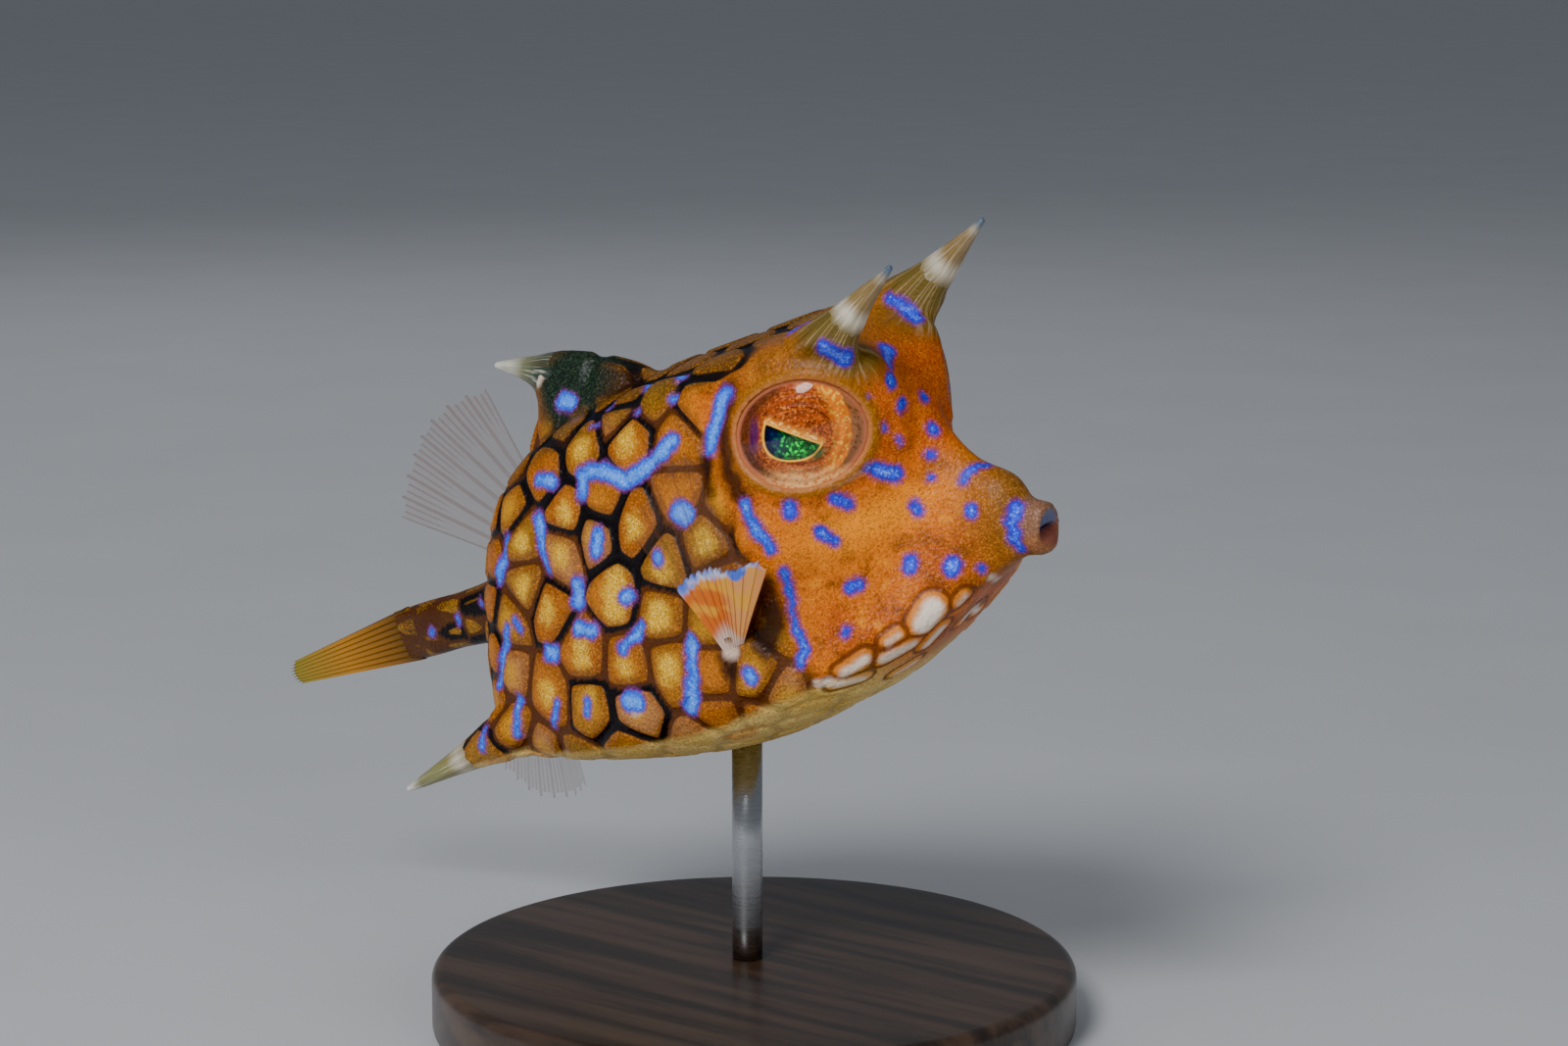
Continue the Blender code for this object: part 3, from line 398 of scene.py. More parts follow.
def spike_rings(name, side, start, end, rows, sides):
    """Oval sections along a spike: middle + cos(turn) * height * upward + sin(turn) * width * across."""
    row = spline(np.array(SPIKES[name]), np.linspace(start, end, rows))
    row[:, 3:5] = np.maximum(row[:, 3:5], 0.06)
    lean = np.radians(row[:, 5])[:, None, None]
    turn = turns(sides)[None, :, None]
    upward = np.concatenate([-np.sin(lean), np.zeros_like(lean), np.cos(lean)], -1)
    points = (row[:, None, :3] + np.cos(turn) * row[:, None, 3:4] * upward
              + np.sin(turn) * row[:, None, 4:5] * np.array([0.0, 1.0, 0.0]))
    return points * flip(side)


def fin_surface(name, f, g):
    """A fin's middle surface: straight rays from the root line to a smooth curve through the outer points."""
    root, tips = np.array(FINS[name][0]), np.array(FINS[name][1])
    outer = spline(tips, f * (len(tips) - 1))
    inner = root[0] + (root[1] - root[0]) * f[..., None]
    return inner + (outer - inner) * g[..., None]


def fin_normals(name, f, g):
    """A fin's upright direction: the cross product of its steps across the rays and along them."""
    by_f = fin_surface(name, np.minimum(f + 0.02, 1), g) - fin_surface(name, np.maximum(f - 0.02, 0), g)
    by_g = fin_surface(name, f, g + 0.02) - fin_surface(name, f, g)
    return unit(np.cross(by_f, by_g))


def fin_stub(name):
    """The fleshy root of a fin: its middle surface thickened by a half width that rounds off outwards."""
    end, thick = (0.1, 0.55) if name.startswith("pectoral") else (0.2, 0.7)
    sunk = 0.08
    g, f = np.meshgrid(np.linspace(-sunk, end, 12), np.linspace(0.0, 1.0, 24), indexing="ij")
    rounding = np.sqrt(np.clip(1 - ((g + sunk) / (end + 0.1)) ** 4, 0.02, 1))
    middle, half = fin_surface(name, f, g), (thick * rounding)[..., None] * fin_normals(name, f, g)
    return sheet_solid(middle + half, middle - half)


def eye_frame(side):
    """The eye's middle on the flank, its outward axis, its long axis and its short axis."""
    middle = skin_point(EYE_STATION, EYE_ROUND * side)
    outward = skin_normal(EYE_STATION, EYE_ROUND * side, 0.55)
    long_axis = unit(EYE_LINE - outward * (outward @ EYE_LINE))
    return middle, outward, long_axis, np.cross(outward, long_axis)


def cubic_terms(u, v):
    """The terms of a cubic surface over a plane."""
    return np.stack([np.ones_like(u), u, v, u * u, u * v, v * v, u ** 3, u * u * v, u * v * v, v ** 3], -1)


def eye_heights(side):
    """How high the bare skin stands along the eye's axis, as a least-squares cubic over the eye's plane."""
    middle, outward, long_axis, short_axis = eye_frame(side)
    s, r = np.meshgrid(np.linspace(6.6, 9.0, 40), np.linspace(1.2, 4.6, 40) * side, indexing="ij")
    away = skin_point(s, r).reshape(-1, 3) - middle
    u, v, h = away @ long_axis, away @ short_axis, away @ outward
    near = np.hypot(u / EYE_LENGTHEN, v) < EYE_RADIUS + 3.0
    return np.linalg.lstsq(cubic_terms(u[near], v[near]), h[near], rcond=None)[0]


def lips_ring():
    """A ring of rounded section round the mouth, pinched where the two lips meet at its sides."""
    around, section = turns(LIPS_AROUND)[:, None], turns(LIPS_SECTION)[None, :]
    fullness = 1.0 - 0.26 * np.exp(-((np.abs(np.sin(around)) / 0.22) ** 2))
    radius = 1.42 + fullness * np.sin(section)
    across = radius * LIPS_WIDEN * np.cos(around)
    height = radius * (1.13 + 0.06 * np.sin(around)) * np.sin(around)
    forward = -4.7 + fullness * 1.15 * np.cos(section) - 0.05 * np.sin(around) - 0.5 * np.cos(around) ** 2
    points = np.stack([forward, across, LIPS_LEVEL + height], -1)
    a, b = np.meshgrid(np.arange(LIPS_AROUND), np.arange(LIPS_SECTION), indexing="ij")
    next_a, next_b = (a + 1) % LIPS_AROUND * LIPS_SECTION, (b + 1) % LIPS_SECTION
    a = a * LIPS_SECTION
    quads = np.stack([a + b, a + next_b, next_a + next_b, next_a + b], -1)
    return points.reshape(-1, 3), [quads.reshape(-1, 4)]


def nostril_tube(side):
    """A short raised tube in front of the eye: rings along the skin's normal."""
    middle = skin_point(NOSTRIL_STATION, NOSTRIL_ROUND * side)
    outward = skin_normal(NOSTRIL_STATION, NOSTRIL_ROUND * side, 0.3)
    first = unit(np.array([0.0, 0.0, 1.0]) - outward[2] * outward)
    second = np.cross(outward, first)
    around = turns(24)[None, :, None]
    return (middle + outward * NOSTRIL_PROFILE[:, None, 1:]
            + NOSTRIL_PROFILE[:, None, :1] * (np.cos(around) * first + np.sin(around) * second))


def flesh_source():
    """Every closed piece of flesh: the box, feet of the spikes, roots of the fins, lips and nostrils."""
    rounds = np.arange(304) / 304 * 2 * BELLY_LINE
    s, r = np.meshgrid(np.linspace(0.0, LAST_STATION, 460), rounds, indexing="ij")
    box = skin_point(s, r)
    box[..., 1] *= 1 - 0.5 * smooth(19.0, 20.0, s)
    parts = [capped_tube(box), lips_ring()]
    for side in SIDES.values():
        parts.append(capped_tube(nostril_tube(side)))
        parts += [capped_tube(spike_rings(name, side, 0.0, SPIKE_PARTINGS[name], 40, 40))
                  for name in ("horn", "rear_spine")]
    parts.append(capped_tube(spike_rings("back_thorn", 1.0, 0.0, SPIKE_PARTINGS["back_thorn"], 40, 40)))
    parts.extend(fin_stub(name) for name in FINS if name != "caudal_fin")
    points, faces, shift = [], [], 0
    for part_points, part_faces in parts:
        points.append(part_points)
        faces.extend(block + shift for block in outward_faces(part_points, part_faces))
        shift += len(part_points)
    return np.concatenate(points), faces


def grown_skin():
    """Points, normals and quads of the flesh grown together: a voxel remesh of its union, then smoothed."""
    flesh = bpy.data.objects.new("flesh", new_mesh("flesh", *flesh_source()))
    bpy.context.scene.collection.objects.link(flesh)
    remesh = flesh.modifiers.new("remesh", "REMESH")
    remesh.mode, remesh.voxel_size, remesh.adaptivity = "VOXEL", VOXEL, 0.0
    relax = flesh.modifiers.new("relax", "SMOOTH")
    relax.factor, relax.iterations = 0.5, 4
    made = flesh.evaluated_get(bpy.context.evaluated_depsgraph_get()).to_mesh()
    points, normals = (np.empty(len(made.vertices) * 3, np.float32) for _ in range(2))
    quads = np.empty(len(made.loops), np.int32)
    made.vertices.foreach_get("co", points)
    made.vertex_normals.foreach_get("vector", normals)
    made.loops.foreach_get("vertex_index", quads)
    bpy.data.objects.remove(flesh, do_unlink=True)
    return points.reshape(-1, 3).astype(float), normals.reshape(-1, 3).astype(float), quads.reshape(-1, 4)


def on_skin(pixels, points, normals):
    """The skin point that the camera sees at each photo pixel: the nearest of those within a few pixels."""
    pixels = np.asarray(pixels, float).reshape(-1, 2)
    camera = (EYE_POINT - (0.0, 0.0, CENTRE_HEIGHT)) @ pose_rotation() + BODY_CENTRE
    facing = ((camera - points) * normals).sum(-1) > 0
    seen, place = points[facing], to_pixels(points[facing])
    far = np.linalg.norm(seen - camera, axis=1)
    found = np.empty((len(pixels), 3))
    for block in np.array_split(np.arange(len(pixels)), max(1, len(pixels) // 40)):
        gap = np.linalg.norm(pixels[block, None] - place[None], axis=2)
        cost = far[None] + 1e4 * np.maximum(gap - np.maximum(gap.min(1, keepdims=True), 3.0), 0)
        found[block] = seen[np.argmin(cost, 1)]
    return found


def capsule_gap(points, start, end, radius):
    """Signed distance from each point to a capsule: a line with a radius round it."""
    line = end - start
    share = np.clip(((points - start) @ line) / (line @ line + 1e-9), 0, 1)
    return np.linalg.norm(points - start - share[:, None] * line, axis=1) - radius


def mark_distance(marks, points, normals):
    """Signed distance in mm from each skin point to the nearest mark: capsules between points of the skin.

    A mark's line is cut into steps of at most twelve pixels, so that it follows the skin. Marks of the flank
    and cheek are repeated on the left, those of the forehead between the horns are not.
    """
    starts, ends, radii = [], [], []
    for half, *line in marks:
        line = np.array(line, float).reshape(-1, 2)
        dense = [line[:1]]
        for a, b in zip(line[:-1], line[1:]):
            steps = max(1, int(np.ceil(np.linalg.norm(b - a) / 12.0)))
            dense.append(a + (b - a) * (np.arange(1, steps + 1) / steps)[:, None])
        dense = np.concatenate(dense)
        starts.append(dense[:-1])
        ends.append(dense[1:])
        radii.append(np.full(len(dense) - 1, half * PIXEL_MM))
    starts, ends = (on_skin(np.concatenate(pixels), points, normals) for pixels in (starts, ends))
    nearest = np.full(len(points), 99.0)
    for start, end, radius in zip(starts, ends, np.concatenate(radii)):
        for side in SIDES.values():
            if side > 0 or start[1] < -FOREHEAD_HALF:
                gap = capsule_gap(points, start * flip(side), end * flip(side), radius)
                nearest = np.minimum(nearest, gap)
    return nearest


def jaw_fields(points, normals):
    """Each skin point's signed distance to the nearest pale cell of the jaw, and to the outline round it.

    A cell is a capsule between two points of the skin. Its outline runs a fixed way outside the capsule, or
    where the next cell is as near; inside it the distance is positive.
    """
    cells = np.array(JAW_CELLS)
    starts, ends = on_skin(cells[:, 1:3], points, normals), on_skin(cells[:, 3:], points, normals)
    gaps = [capsule_gap(points, start * flip(side), end * flip(side), radius)
            for side in SIDES.values() for start, end, radius in zip(starts, ends, cells[:, 0] * PIXEL_MM)]
    gaps = np.sort(np.stack(gaps), axis=0)
    return gaps[0], np.minimum((gaps[1] - gaps[0]) / 2, JAW_OUTLINE - gaps[0])


def plate_middles(points, normals):
    """Plate middles: those placed from the photo, an even lattice elsewhere, and their mirror image.

    Returns the middles, 1 for each plate with a black border, and a random shade for each.
    """
    rng = np.random.default_rng(SEED)
    placed = on_skin(PLATE_PIXELS, points, normals)
    dark = np.array([pixel in DARK_PLATES for pixel in PLATE_PIXELS], float)
    column, turn = np.meshgrid(np.arange(len(COLUMN_STATIONS)), np.arange(PLATES_ROUND), indexing="ij")
    lattice = skin_point(np.array(COLUMN_STATIONS)[column], turn + 0.5 * (column % 2)).reshape(-1, 3)
    lattice = lattice + rng.normal(0, 0.35, lattice.shape)
    near = lattice[lattice[:, 1] < -MIDDLE_BAND]
    clear = np.linalg.norm(near[:, None] - placed[None], axis=2).min(1) > 4.9
    near = np.concatenate([placed, near[clear]])
    dark = np.concatenate([dark, (rng.random(clear.sum()) < 0.3).astype(float)])
    far = near * flip(-1.0) + rng.normal(0, 0.3, near.shape)
    middle = lattice[np.abs(lattice[:, 1]) <= MIDDLE_BAND]
    return (np.concatenate([near, far, middle]), np.concatenate([dark, dark, np.zeros(len(middle))]),
            rng.random(2 * len(near) + len(middle)))


def plate_fields(points, middles):
    """Each skin point's own plate, its distance to that plate's middle, and to the border with the next.

    The border distance is the least, over all other plates, of (d2 squared - d1 squared) / (2 * middles
    apart), less a third of a millimetre where three plates meet, so that their corners are round.
    """
    apart = np.linalg.norm(middles[:, None] - middles[None], axis=2)
    own = np.empty(len(points), int)
    lead, border = np.empty(len(points)), np.empty(len(points))
    for block in np.array_split(np.arange(len(points)), 40):
        square = ((points[block, None] - middles[None]) ** 2).sum(-1)
        nearest = square.argmin(1)
        first = square[np.arange(len(block)), nearest]
        gap = (square - first[:, None]) / (2 * apart[nearest] + 1e-9)
        gap[np.arange(len(block)), nearest] = 99.0
        gap.sort(1)
        own[block], lead[block] = nearest, np.sqrt(first)
        border[block] = gap[:, 0] - 0.3 * np.exp(-(gap[:, 1] / 1.1) ** 2)
    return own, lead, border


class Value:
    """An output in a shader tree, which takes +, -, * and / with numbers and with other outputs."""

    def __init__(self, tree, socket):
        self.tree, self.socket = tree, socket

    def __add__(self, other):
        return maths("ADD", self, other)

    def __sub__(self, other):
        return maths("SUBTRACT", self, other)

    def __rsub__(self, other):
        return maths("SUBTRACT", self, other, turned=True)

    def __mul__(self, other):
        return maths("MULTIPLY", self, other)

    def __truediv__(self, other):
        return maths("DIVIDE", self, other)

    def __abs__(self):
        return maths("ABSOLUTE", self)


def fill_inputs(tree, made, inputs):
    """Gives a shader node's inputs a number, a colour or another node's output each."""
    for key, value in inputs.items():
        if isinstance(value, Value):
            tree.links.new(value.socket, made.inputs[key])
        else:
            made.inputs[key].default_value = value


def node(tree, kind, inputs, output=0, **settings):
    """The output of a new shader node with these inputs and settings."""
    made = tree.nodes.new(kind)
    for key, value in settings.items():
        setattr(made, key, value)
    fill_inputs(tree, made, inputs)
    return Value(tree, made.outputs[output])


def attributes(tree, names):
    """The named values of a piece, in the order of the names."""
    return [node(tree, "ShaderNodeAttribute", {}, "Fac", attribute_name=name) for name in names.split()]


def maths(operation, a, b=0.0, turned=False):
    """A maths node on output a and value b, or on b and a when turned."""
    return node(a.tree, "ShaderNodeMath", {0: b, 1: a} if turned else {0: a, 1: b}, operation=operation)


def larger(a, b):
    """The larger of two outputs."""
    return maths("MAXIMUM", a, b)


def srgb(red, green, blue):
    """A screen colour, 0 to 255, as the linear colour that a shader takes."""
    share = np.array([red, green, blue]) / 255.0
    linear = np.where(share <= 0.04045, share / 12.92, ((share + 0.055) / 1.055) ** 2.4)
    return (*linear.tolist(), 1.0)


def mix(share, a, b):
    """Colour a, turning to colour b as share goes from 0 to 1. Plain colours are (red, green, blue)."""
    a, b = (colour if isinstance(colour, Value) else srgb(*colour) for colour in (a, b))
    return node(share.tree, "ShaderNodeMix", {0: share, 6: a, 7: b}, 2, data_type="RGBA")


def painted(colour, *layers):
    """A colour with layers laid over it in turn, each a (share, colour) pair."""
    for share, layer in layers:
        colour = mix(share, colour, layer)
    return colour


def ramp(value, stops):
    """A colour ramp from (place, colour) pairs."""
    made = node(value.tree, "ShaderNodeValToRGB", {0: value})
    elements = made.socket.node.color_ramp.elements
    while len(elements) < len(stops):
        elements.new(0.5)
    for element, (place, colour) in zip(elements, stops):
        element.position, element.color = place, srgb(*colour)
    return made


def span(value, low, high):
    """A smooth step from 0 at low to 1 at high."""
    return node(value.tree, "ShaderNodeMapRange", {0: value, 1: low, 2: high, 3: 0.0, 4: 1.0},
                interpolation_type="SMOOTHSTEP")


def object_place(tree):
    """The place of a point in its piece's own frame."""
    return node(tree, "ShaderNodeTexCoord", {}, "Object")


def noise(place, scale, detail=2.0, roughness=0.5):
    """Cloudy noise from 0 to 1."""
    inputs = {"Vector": place, "Scale": scale, "Detail": detail, "Roughness": roughness}
    return node(place.tree, "ShaderNodeTexNoise", inputs, "Fac")


def combined(x, y, z=0.0):
    """A place from three numbers."""
    return node(x.tree, "ShaderNodeCombineXYZ", {0: x, 1: y, 2: z})


def stretched(place, scale):
    """A place with each of its numbers scaled."""
    return node(place.tree, "ShaderNodeMapping", {"Vector": place, "Scale": scale})


def bump(height, strength, distance):
    """The normal of a surface with fine relief on it."""
    return node(height.tree, "ShaderNodeBump", {"Height": height, "Strength": strength, "Distance": distance})


def new_group(name, *inputs):
    """A new node group: its tree, its named number inputs, and a way to give it a named output."""
    tree = bpy.data.node_groups.new(name, "ShaderNodeTree")
    for socket in inputs:
        tree.interface.new_socket(socket, in_out="INPUT", socket_type="NodeSocketFloat")
    given = tree.nodes.new("NodeGroupInput").outputs
    leaving = tree.nodes.new("NodeGroupOutput")

    def give(output, value):
        tree.interface.new_socket(output, in_out="OUTPUT", socket_type="NodeSocketFloat")
        tree.links.new(value.socket, leaving.inputs[output])

    return tree, [Value(tree, given[socket]) for socket in inputs], give


def make_groups():
    """Effects that several materials share: warty grain, grains of colour, and a mark's uneven edge."""
    tree, (scale,), give = new_group("fine grain", "Scale")
    place = object_place(tree)
    warts = node(tree, "ShaderNodeTexVoronoi", {"Vector": place, "Scale": scale, "Randomness": 0.85},
                 "Distance")
    specks = noise(place, scale * 2.7, 3.0, 0.6)
    give("Specks", specks)
    give("Height", span(warts, 0.65, 0.1) + specks * 0.5)

    tree, (scale,), give = new_group("skin grains", "Scale")
    cells = node(tree, "ShaderNodeTexVoronoi", {"Vector": object_place(tree), "Scale": scale}, "Color")
    for output, part in (("Light", 0), ("Dark", 1)):
        give(output, span(node(tree, "ShaderNodeSeparateColor", {0: cells}, part), 0.62, 0.9))

    tree, (distance, softness, unevenness, scale), give = new_group(
        "uneven edge", "Distance", "Softness", "Unevenness", "Scale")
    shift = (noise(object_place(tree), scale, 3.0, 0.62) - 0.5) * unevenness
    give("Inside", span((distance + shift) / softness, 0.5, -0.5))


def use_group(tree, name, **inputs):
    """The outputs, by name, of a node of the named group with these inputs."""
    made = tree.nodes.new("ShaderNodeGroup")
    made.node_tree = bpy.data.node_groups[name]
    fill_inputs(tree, made, inputs)
    return {output.name: Value(tree, output) for output in made.outputs}


def uneven_edge(distance, softness, unevenness, scale):
    """1 inside a mark and 0 outside it, from the signed distance to its edge."""
    return use_group(distance.tree, "uneven edge", Distance=distance, Softness=softness,
                     Unevenness=unevenness, Scale=scale)["Inside"]


def material(name, **values):
    """A new material with a Principled shader whose own sockets hold these values."""
    made = bpy.data.materials.new(name)
    made.use_nodes = True
    shader = made.node_tree.nodes["Principled BSDF"]
    for key, value in values.items():
        shader.inputs[key.replace("_", " ").title().replace("Ior", "IOR")].default_value = value
    return made, made.node_tree, shader


def skin_material():
    """Orange head, golden plates on the flank, pale belly and dark tail, with the marks laid over them."""
    made, tree, shader = material("cowfish skin", roughness=0.45, specular_ior_level=0.32, coat_weight=0.05,
                                  coat_roughness=0.3)
    grain, grains = use_group(tree, "fine grain", Scale=1700.0), use_group(tree, "skin grains", Scale=6800.0)
    light, shade = grains["Light"], grains["Dark"]
    place = object_place(tree)
    broad, patchy, wander = noise(place, 140.0, 4.0), noise(place, 420.0, 3.0), noise(place, 420.0)
    cloud = span(broad, 0.35, 0.65)
    border, lead, each, rim, trunk, low, outline = attributes(tree, "border lead each rim trunk low outline")
    belly, tail, back, front, snout, crown, cheek = attributes(
        tree, "belly tail back front snout crown cheek")
    foot, foot_ahead, foot_aside, muzzle, lip, upper, thorn = attributes(
        tree, "foot foot_ahead foot_aside muzzle lip upper thorn")
    blue, dark, pale, gold, white, sky = attributes(tree, "blue dark pale gold white sky")
    rim_gold, lid_edge, inner, mouth, knob = attributes(tree, "rim_gold lid_edge inner mouth knob")

    flank = painted(
        mix(cloud, (156, 82, 6), (184, 106, 10)),
        (span(each, 0.35, 0.75), (140, 98, 14)),
        (span(each, 0.84, 0.96), (172, 116, 66)),
        (span(lead, 2.4, 0.5) * span(each, 0.2, 0.6) * 0.55, (216, 160, 10)),
        (uneven_edge(gold, 1.9, 2.6, 900.0) * 0.85, mix(light, (224, 170, 8), (255, 240, 130))),
        (span(border, 1.9, 0.6) * 0.7, (118, 64, 24)),
        (back * 0.8, (78, 54, 16)))
    head = painted(
        mix(cloud, (176, 74, 0), (212, 108, 0)),
        (span(patchy, 0.5, 0.66) * 0.75, (120, 54, 2)),
        (span(patchy, 0.42, 0.3) * 0.6, (240, 146, 0)),
        (front * 0.65, (184, 70, 0)),
        (snout * 0.8, (132, 80, 16)),
        (crown * 0.6, (112, 82, 28)),
        (cheek * 0.85, (255, 152, 0)))
    under = mix(span(broad, 0.54, 0.64) * 0.6, mix(cloud, (240, 200, 104), (252, 224, 142)), (214, 128, 36))
    colour = painted(
        mix(trunk, head, flank),
        (belly, under),
        (tail, mix(cloud, (70, 46, 8), (134, 96, 20))),
        (light * 0.32, (255, 158, 20)),
        (shade * 0.46, (74, 30, 4)))

    # Borders of the plates, black round some of them, and the pale cells of the jaw with their outline
    uneven = border + (broad - 0.5) * 0.6
    drawn = span(uneven, 0.5, 0.26) * ((1.0 - belly) * 0.72 + 0.16)
    rubbed = abs(outline) + (broad - 0.5) * 0.5
    colour = painted(
        colour,
        (drawn * larger(trunk, low), (66, 32, 14)),
        (span(uneven, 0.72, 0.46) * rim, (12, 6, 8)),
        (span(outline, 0.0, 0.4) * 0.5, (226, 140, 40)),
        (span(rubbed, 0.42, 0.1) * 0.78, (96, 40, 6)),
        (uneven_edge(white + 0.06, 1.0, 0.5, 900.0) * 0.94, (240, 226, 208)))

    # The horns' feet with streaks up them, the muzzle and lips, dark marks with their painted shade, and pale
    # marks
    streaks = noise(combined(foot_ahead, foot_aside, foot * 0.15), 11.0, 3.0)
    foot_colour = painted(
        mix(span(foot, 0.4, 0.95), (116, 76, 16), (104, 88, 38)),
        (span(streaks, 0.52, 0.66) * span(foot, 0.15, 0.8) * 0.5, (190, 166, 120)),
        (span(streaks, 0.46, 0.34) * 0.5, (58, 48, 20)))
    lips = mix(upper, mix(light * 0.5, (136, 84, 52), (190, 138, 96)),
               mix(light * 0.5, (122, 84, 62), (178, 138, 116)))
    in_dark_and_shade = uneven_edge(dark, 1.7, 2.2, 420.0)
    colour = painted(
        colour,
        (span(foot, 0.02, 0.7) * 0.95, foot_colour),
        (muzzle * 0.75, mix(light * 0.7, (122, 76, 28), (186, 130, 60))),
        (lip, lips),
        # Painted shade among the dark marks: behind the eye and the pectoral fin's cast shadow, coloured near
        # black
        (in_dark_and_shade * 0.92, (34, 13, 3)),
        (thorn, mix(light, (20, 32, 26), (50, 66, 44))),
        (uneven_edge(pale, 0.9, 0.9, 600.0) * 0.85, (226, 206, 186)))

    # Blue marks with violet halo, deep heart and bright core; the eye's rim; inside the mouth, with painted
    # shade in its slit
    blue = blue + (wander - 0.5) * 1.1
    heart = mix(shade * 0.5, mix(sky, (34, 36, 200), (24, 84, 224)), (30, 14, 110))
    core = mix(light * 0.6, mix(sky, (44, 90, 255), (72, 146, 255)), (164, 204, 255))
    colour = painted(
        colour,
        (uneven_edge(blue - 0.1, 0.7, 0.9, 1900.0) * 0.8, mix(light, (110, 40, 108), (150, 84, 190))),
        (uneven_edge(blue + 0.2, 0.45, 0.7, 2600.0), heart),
        (uneven_edge(blue + 0.65, 0.8, 1.7, 2600.0), core),
        (rim_gold * (1.0 - in_dark_and_shade * 0.85), mix(light * 0.5, (142, 84, 4), (204, 136, 24))),
        (lid_edge, (186, 112, 60)),
        (inner, mix(upper, (122, 70, 58), (98, 104, 136))),
        # Painted shade: the slit between the lips coloured near black
        (mouth, (20, 12, 16)),
        (knob * 0.85, (226, 196, 176)))
    fill_inputs(tree, shader, {"Base Color": colour, "Roughness": 0.56 - grain["Specks"] * 0.22,
                               "Normal": bump(grain["Height"], 0.45, 0.00013)})
    return made


def spike_material():
    """Horns, thorn and spines, each coloured from its foot to its tip, with fine fibres along it."""
    made, tree, shader = material("spike horn", roughness=0.35, subsurface_weight=0.25,
                                  subsurface_radius=(0.9, 0.6, 0.4), subsurface_scale=0.0012)
    run, turn, kind = attributes(tree, "run turn kind")
    fibres = noise(combined(run * 2.0, turn * 26.0), 1.0, 3.0)
    horn = ramp(run + (fibres - 0.5) * 0.2, (
        (0.0, (108, 92, 44)), (0.1, (138, 124, 84)), (0.22, (196, 188, 168)), (0.28, (196, 188, 168)),
        (0.42, (136, 112, 66)), (0.72, (124, 100, 56)), (0.82, (160, 150, 126)), (0.92, (84, 104, 122)),
        (1.0, (60, 84, 112))))
    thorn = ramp(run, ((0.0, (34, 50, 42)), (0.25, (48, 64, 50)), (0.5, (110, 112, 84)),
                       (0.75, (190, 190, 176)), (1.0, (205, 206, 200))))
    spine = ramp(run, ((0.0, (126, 110, 60)), (0.2, (190, 182, 160)), (0.35, (132, 128, 70)),
                       (0.75, (124, 126, 84)), (0.9, (214, 212, 204)), (1.0, (226, 226, 222))))
    colour = painted(
        horn,
        (span(kind, 0.25, 0.3), thorn),
        (span(kind, 0.7, 0.75), spine),
        (span(fibres, 0.5, 0.66) * 0.5, (110, 82, 46)),
        (span(fibres, 0.46, 0.34) * 0.45, (232, 224, 206)))
    fill_inputs(tree, shader, {"Base Color": colour, "Normal": bump(fibres, 0.35, 0.0001)})
    return made


def iris_material():
    """Iris and pupil, laid out along the eye's long axis (east, to the snout) and short axis (north, up)."""
    made, tree, shader = material("iris and pupil", roughness=0.5, specular_ior_level=0.15)
    away, turn, east, north, pupil, lid = attributes(tree, "away turn east north pupil lid")
    grains, dust = use_group(tree, "skin grains", Scale=5200.0), use_group(tree, "skin grains", Scale=3800.0)
    cloud = noise(object_place(tree), 800.0, 3.0)
    rings = noise(combined(away * 26.0, turn * 1.2), 1.0)

    def from_middle(shift):
        """How far a point lies from a place on the long axis, in half widths of the eye."""
        aside = east - shift
        return maths("SQRT", aside * aside + north * north)

    arc = from_middle(-0.83) + (cloud - 0.5) * 0.05
    gold = span(arc, 1.24, 1.4) * span(arc, 1.56, 1.52)
    # Painted shade: the back of the iris, outside a circle round a point ahead of its middle, turns near
    # black
    back = span(from_middle(0.2), 0.74, 0.98) * span(east, -0.05, -0.45)
    purple = span(abs(east + 0.66), 0.1, 0.02) * span(abs(north + 0.02), 0.4, 0.1)
    # Painted light: a pale cream to orange glow over the lower part of the iris, fading towards its back
    painted_glow = span(north, -0.5, -0.8) * span(east, -0.75, -0.1)
    green_glow = span(pupil, 0.16, 0.04) * (span(east, 0.1, 0.3) * span(north, -0.2, -0.34))
    emerald = painted(
        mix(span(east, -0.42, -0.05), (0, 2, 66), (0, 78, 14)),
        (dust["Light"] * span(east, -0.45, -0.1), (0, 240, 70)),
        (dust["Dark"] * 0.75, (0, 22, 30)),
        # Painted shade: a near-black line round the inside of the pupil's edge, where it sinks below the iris
        (span(pupil, -0.07, -0.015) * 0.75, (0, 6, 8)))
    colour = painted(
        mix(cloud, (158, 54, 0), (196, 88, 2)),
        (span(rings, 0.42, 0.66), (104, 34, 2)),
        (grains["Light"] * 0.55, (250, 150, 50)),
        (grains["Dark"] * 0.75, (70, 22, 4)),
        (gold * 0.85, mix(dust["Light"], (230, 120, 0), (255, 196, 60))),
        (span(arc, 1.52, 1.57) * 0.9, mix(dust["Dark"], (150, 98, 58), (100, 62, 34))),
        # painted shade at the back of the iris
        (back * 0.85, mix(dust["Dark"], (74, 32, 12), (26, 12, 10))),
        (purple * 0.8, (64, 4, 84)),
        (span(away, 0.85, 0.92), (176, 100, 66)),
        # painted light on the lower iris
        (painted_glow * 0.75, mix(dust["Dark"], (244, 190, 120), (206, 122, 54))),
        (lid, mix(dust["Light"], (214, 128, 20), (255, 212, 120))),
        (span(pupil, 0.036, 0.022), (255, 186, 50)),
        (green_glow * 0.9, (0, 92, 48)),
        (span(pupil, 0.012, -0.012), emerald))
    fill_inputs(tree, shader, {"Base Color": colour, "Normal": bump(grains["Light"], 0.25, 0.00006)})
    return made


def glass_material():
    """The clear cornea."""
    return material("clear cornea", roughness=0.05, ior=1.336, transmission_weight=1.0)[0]


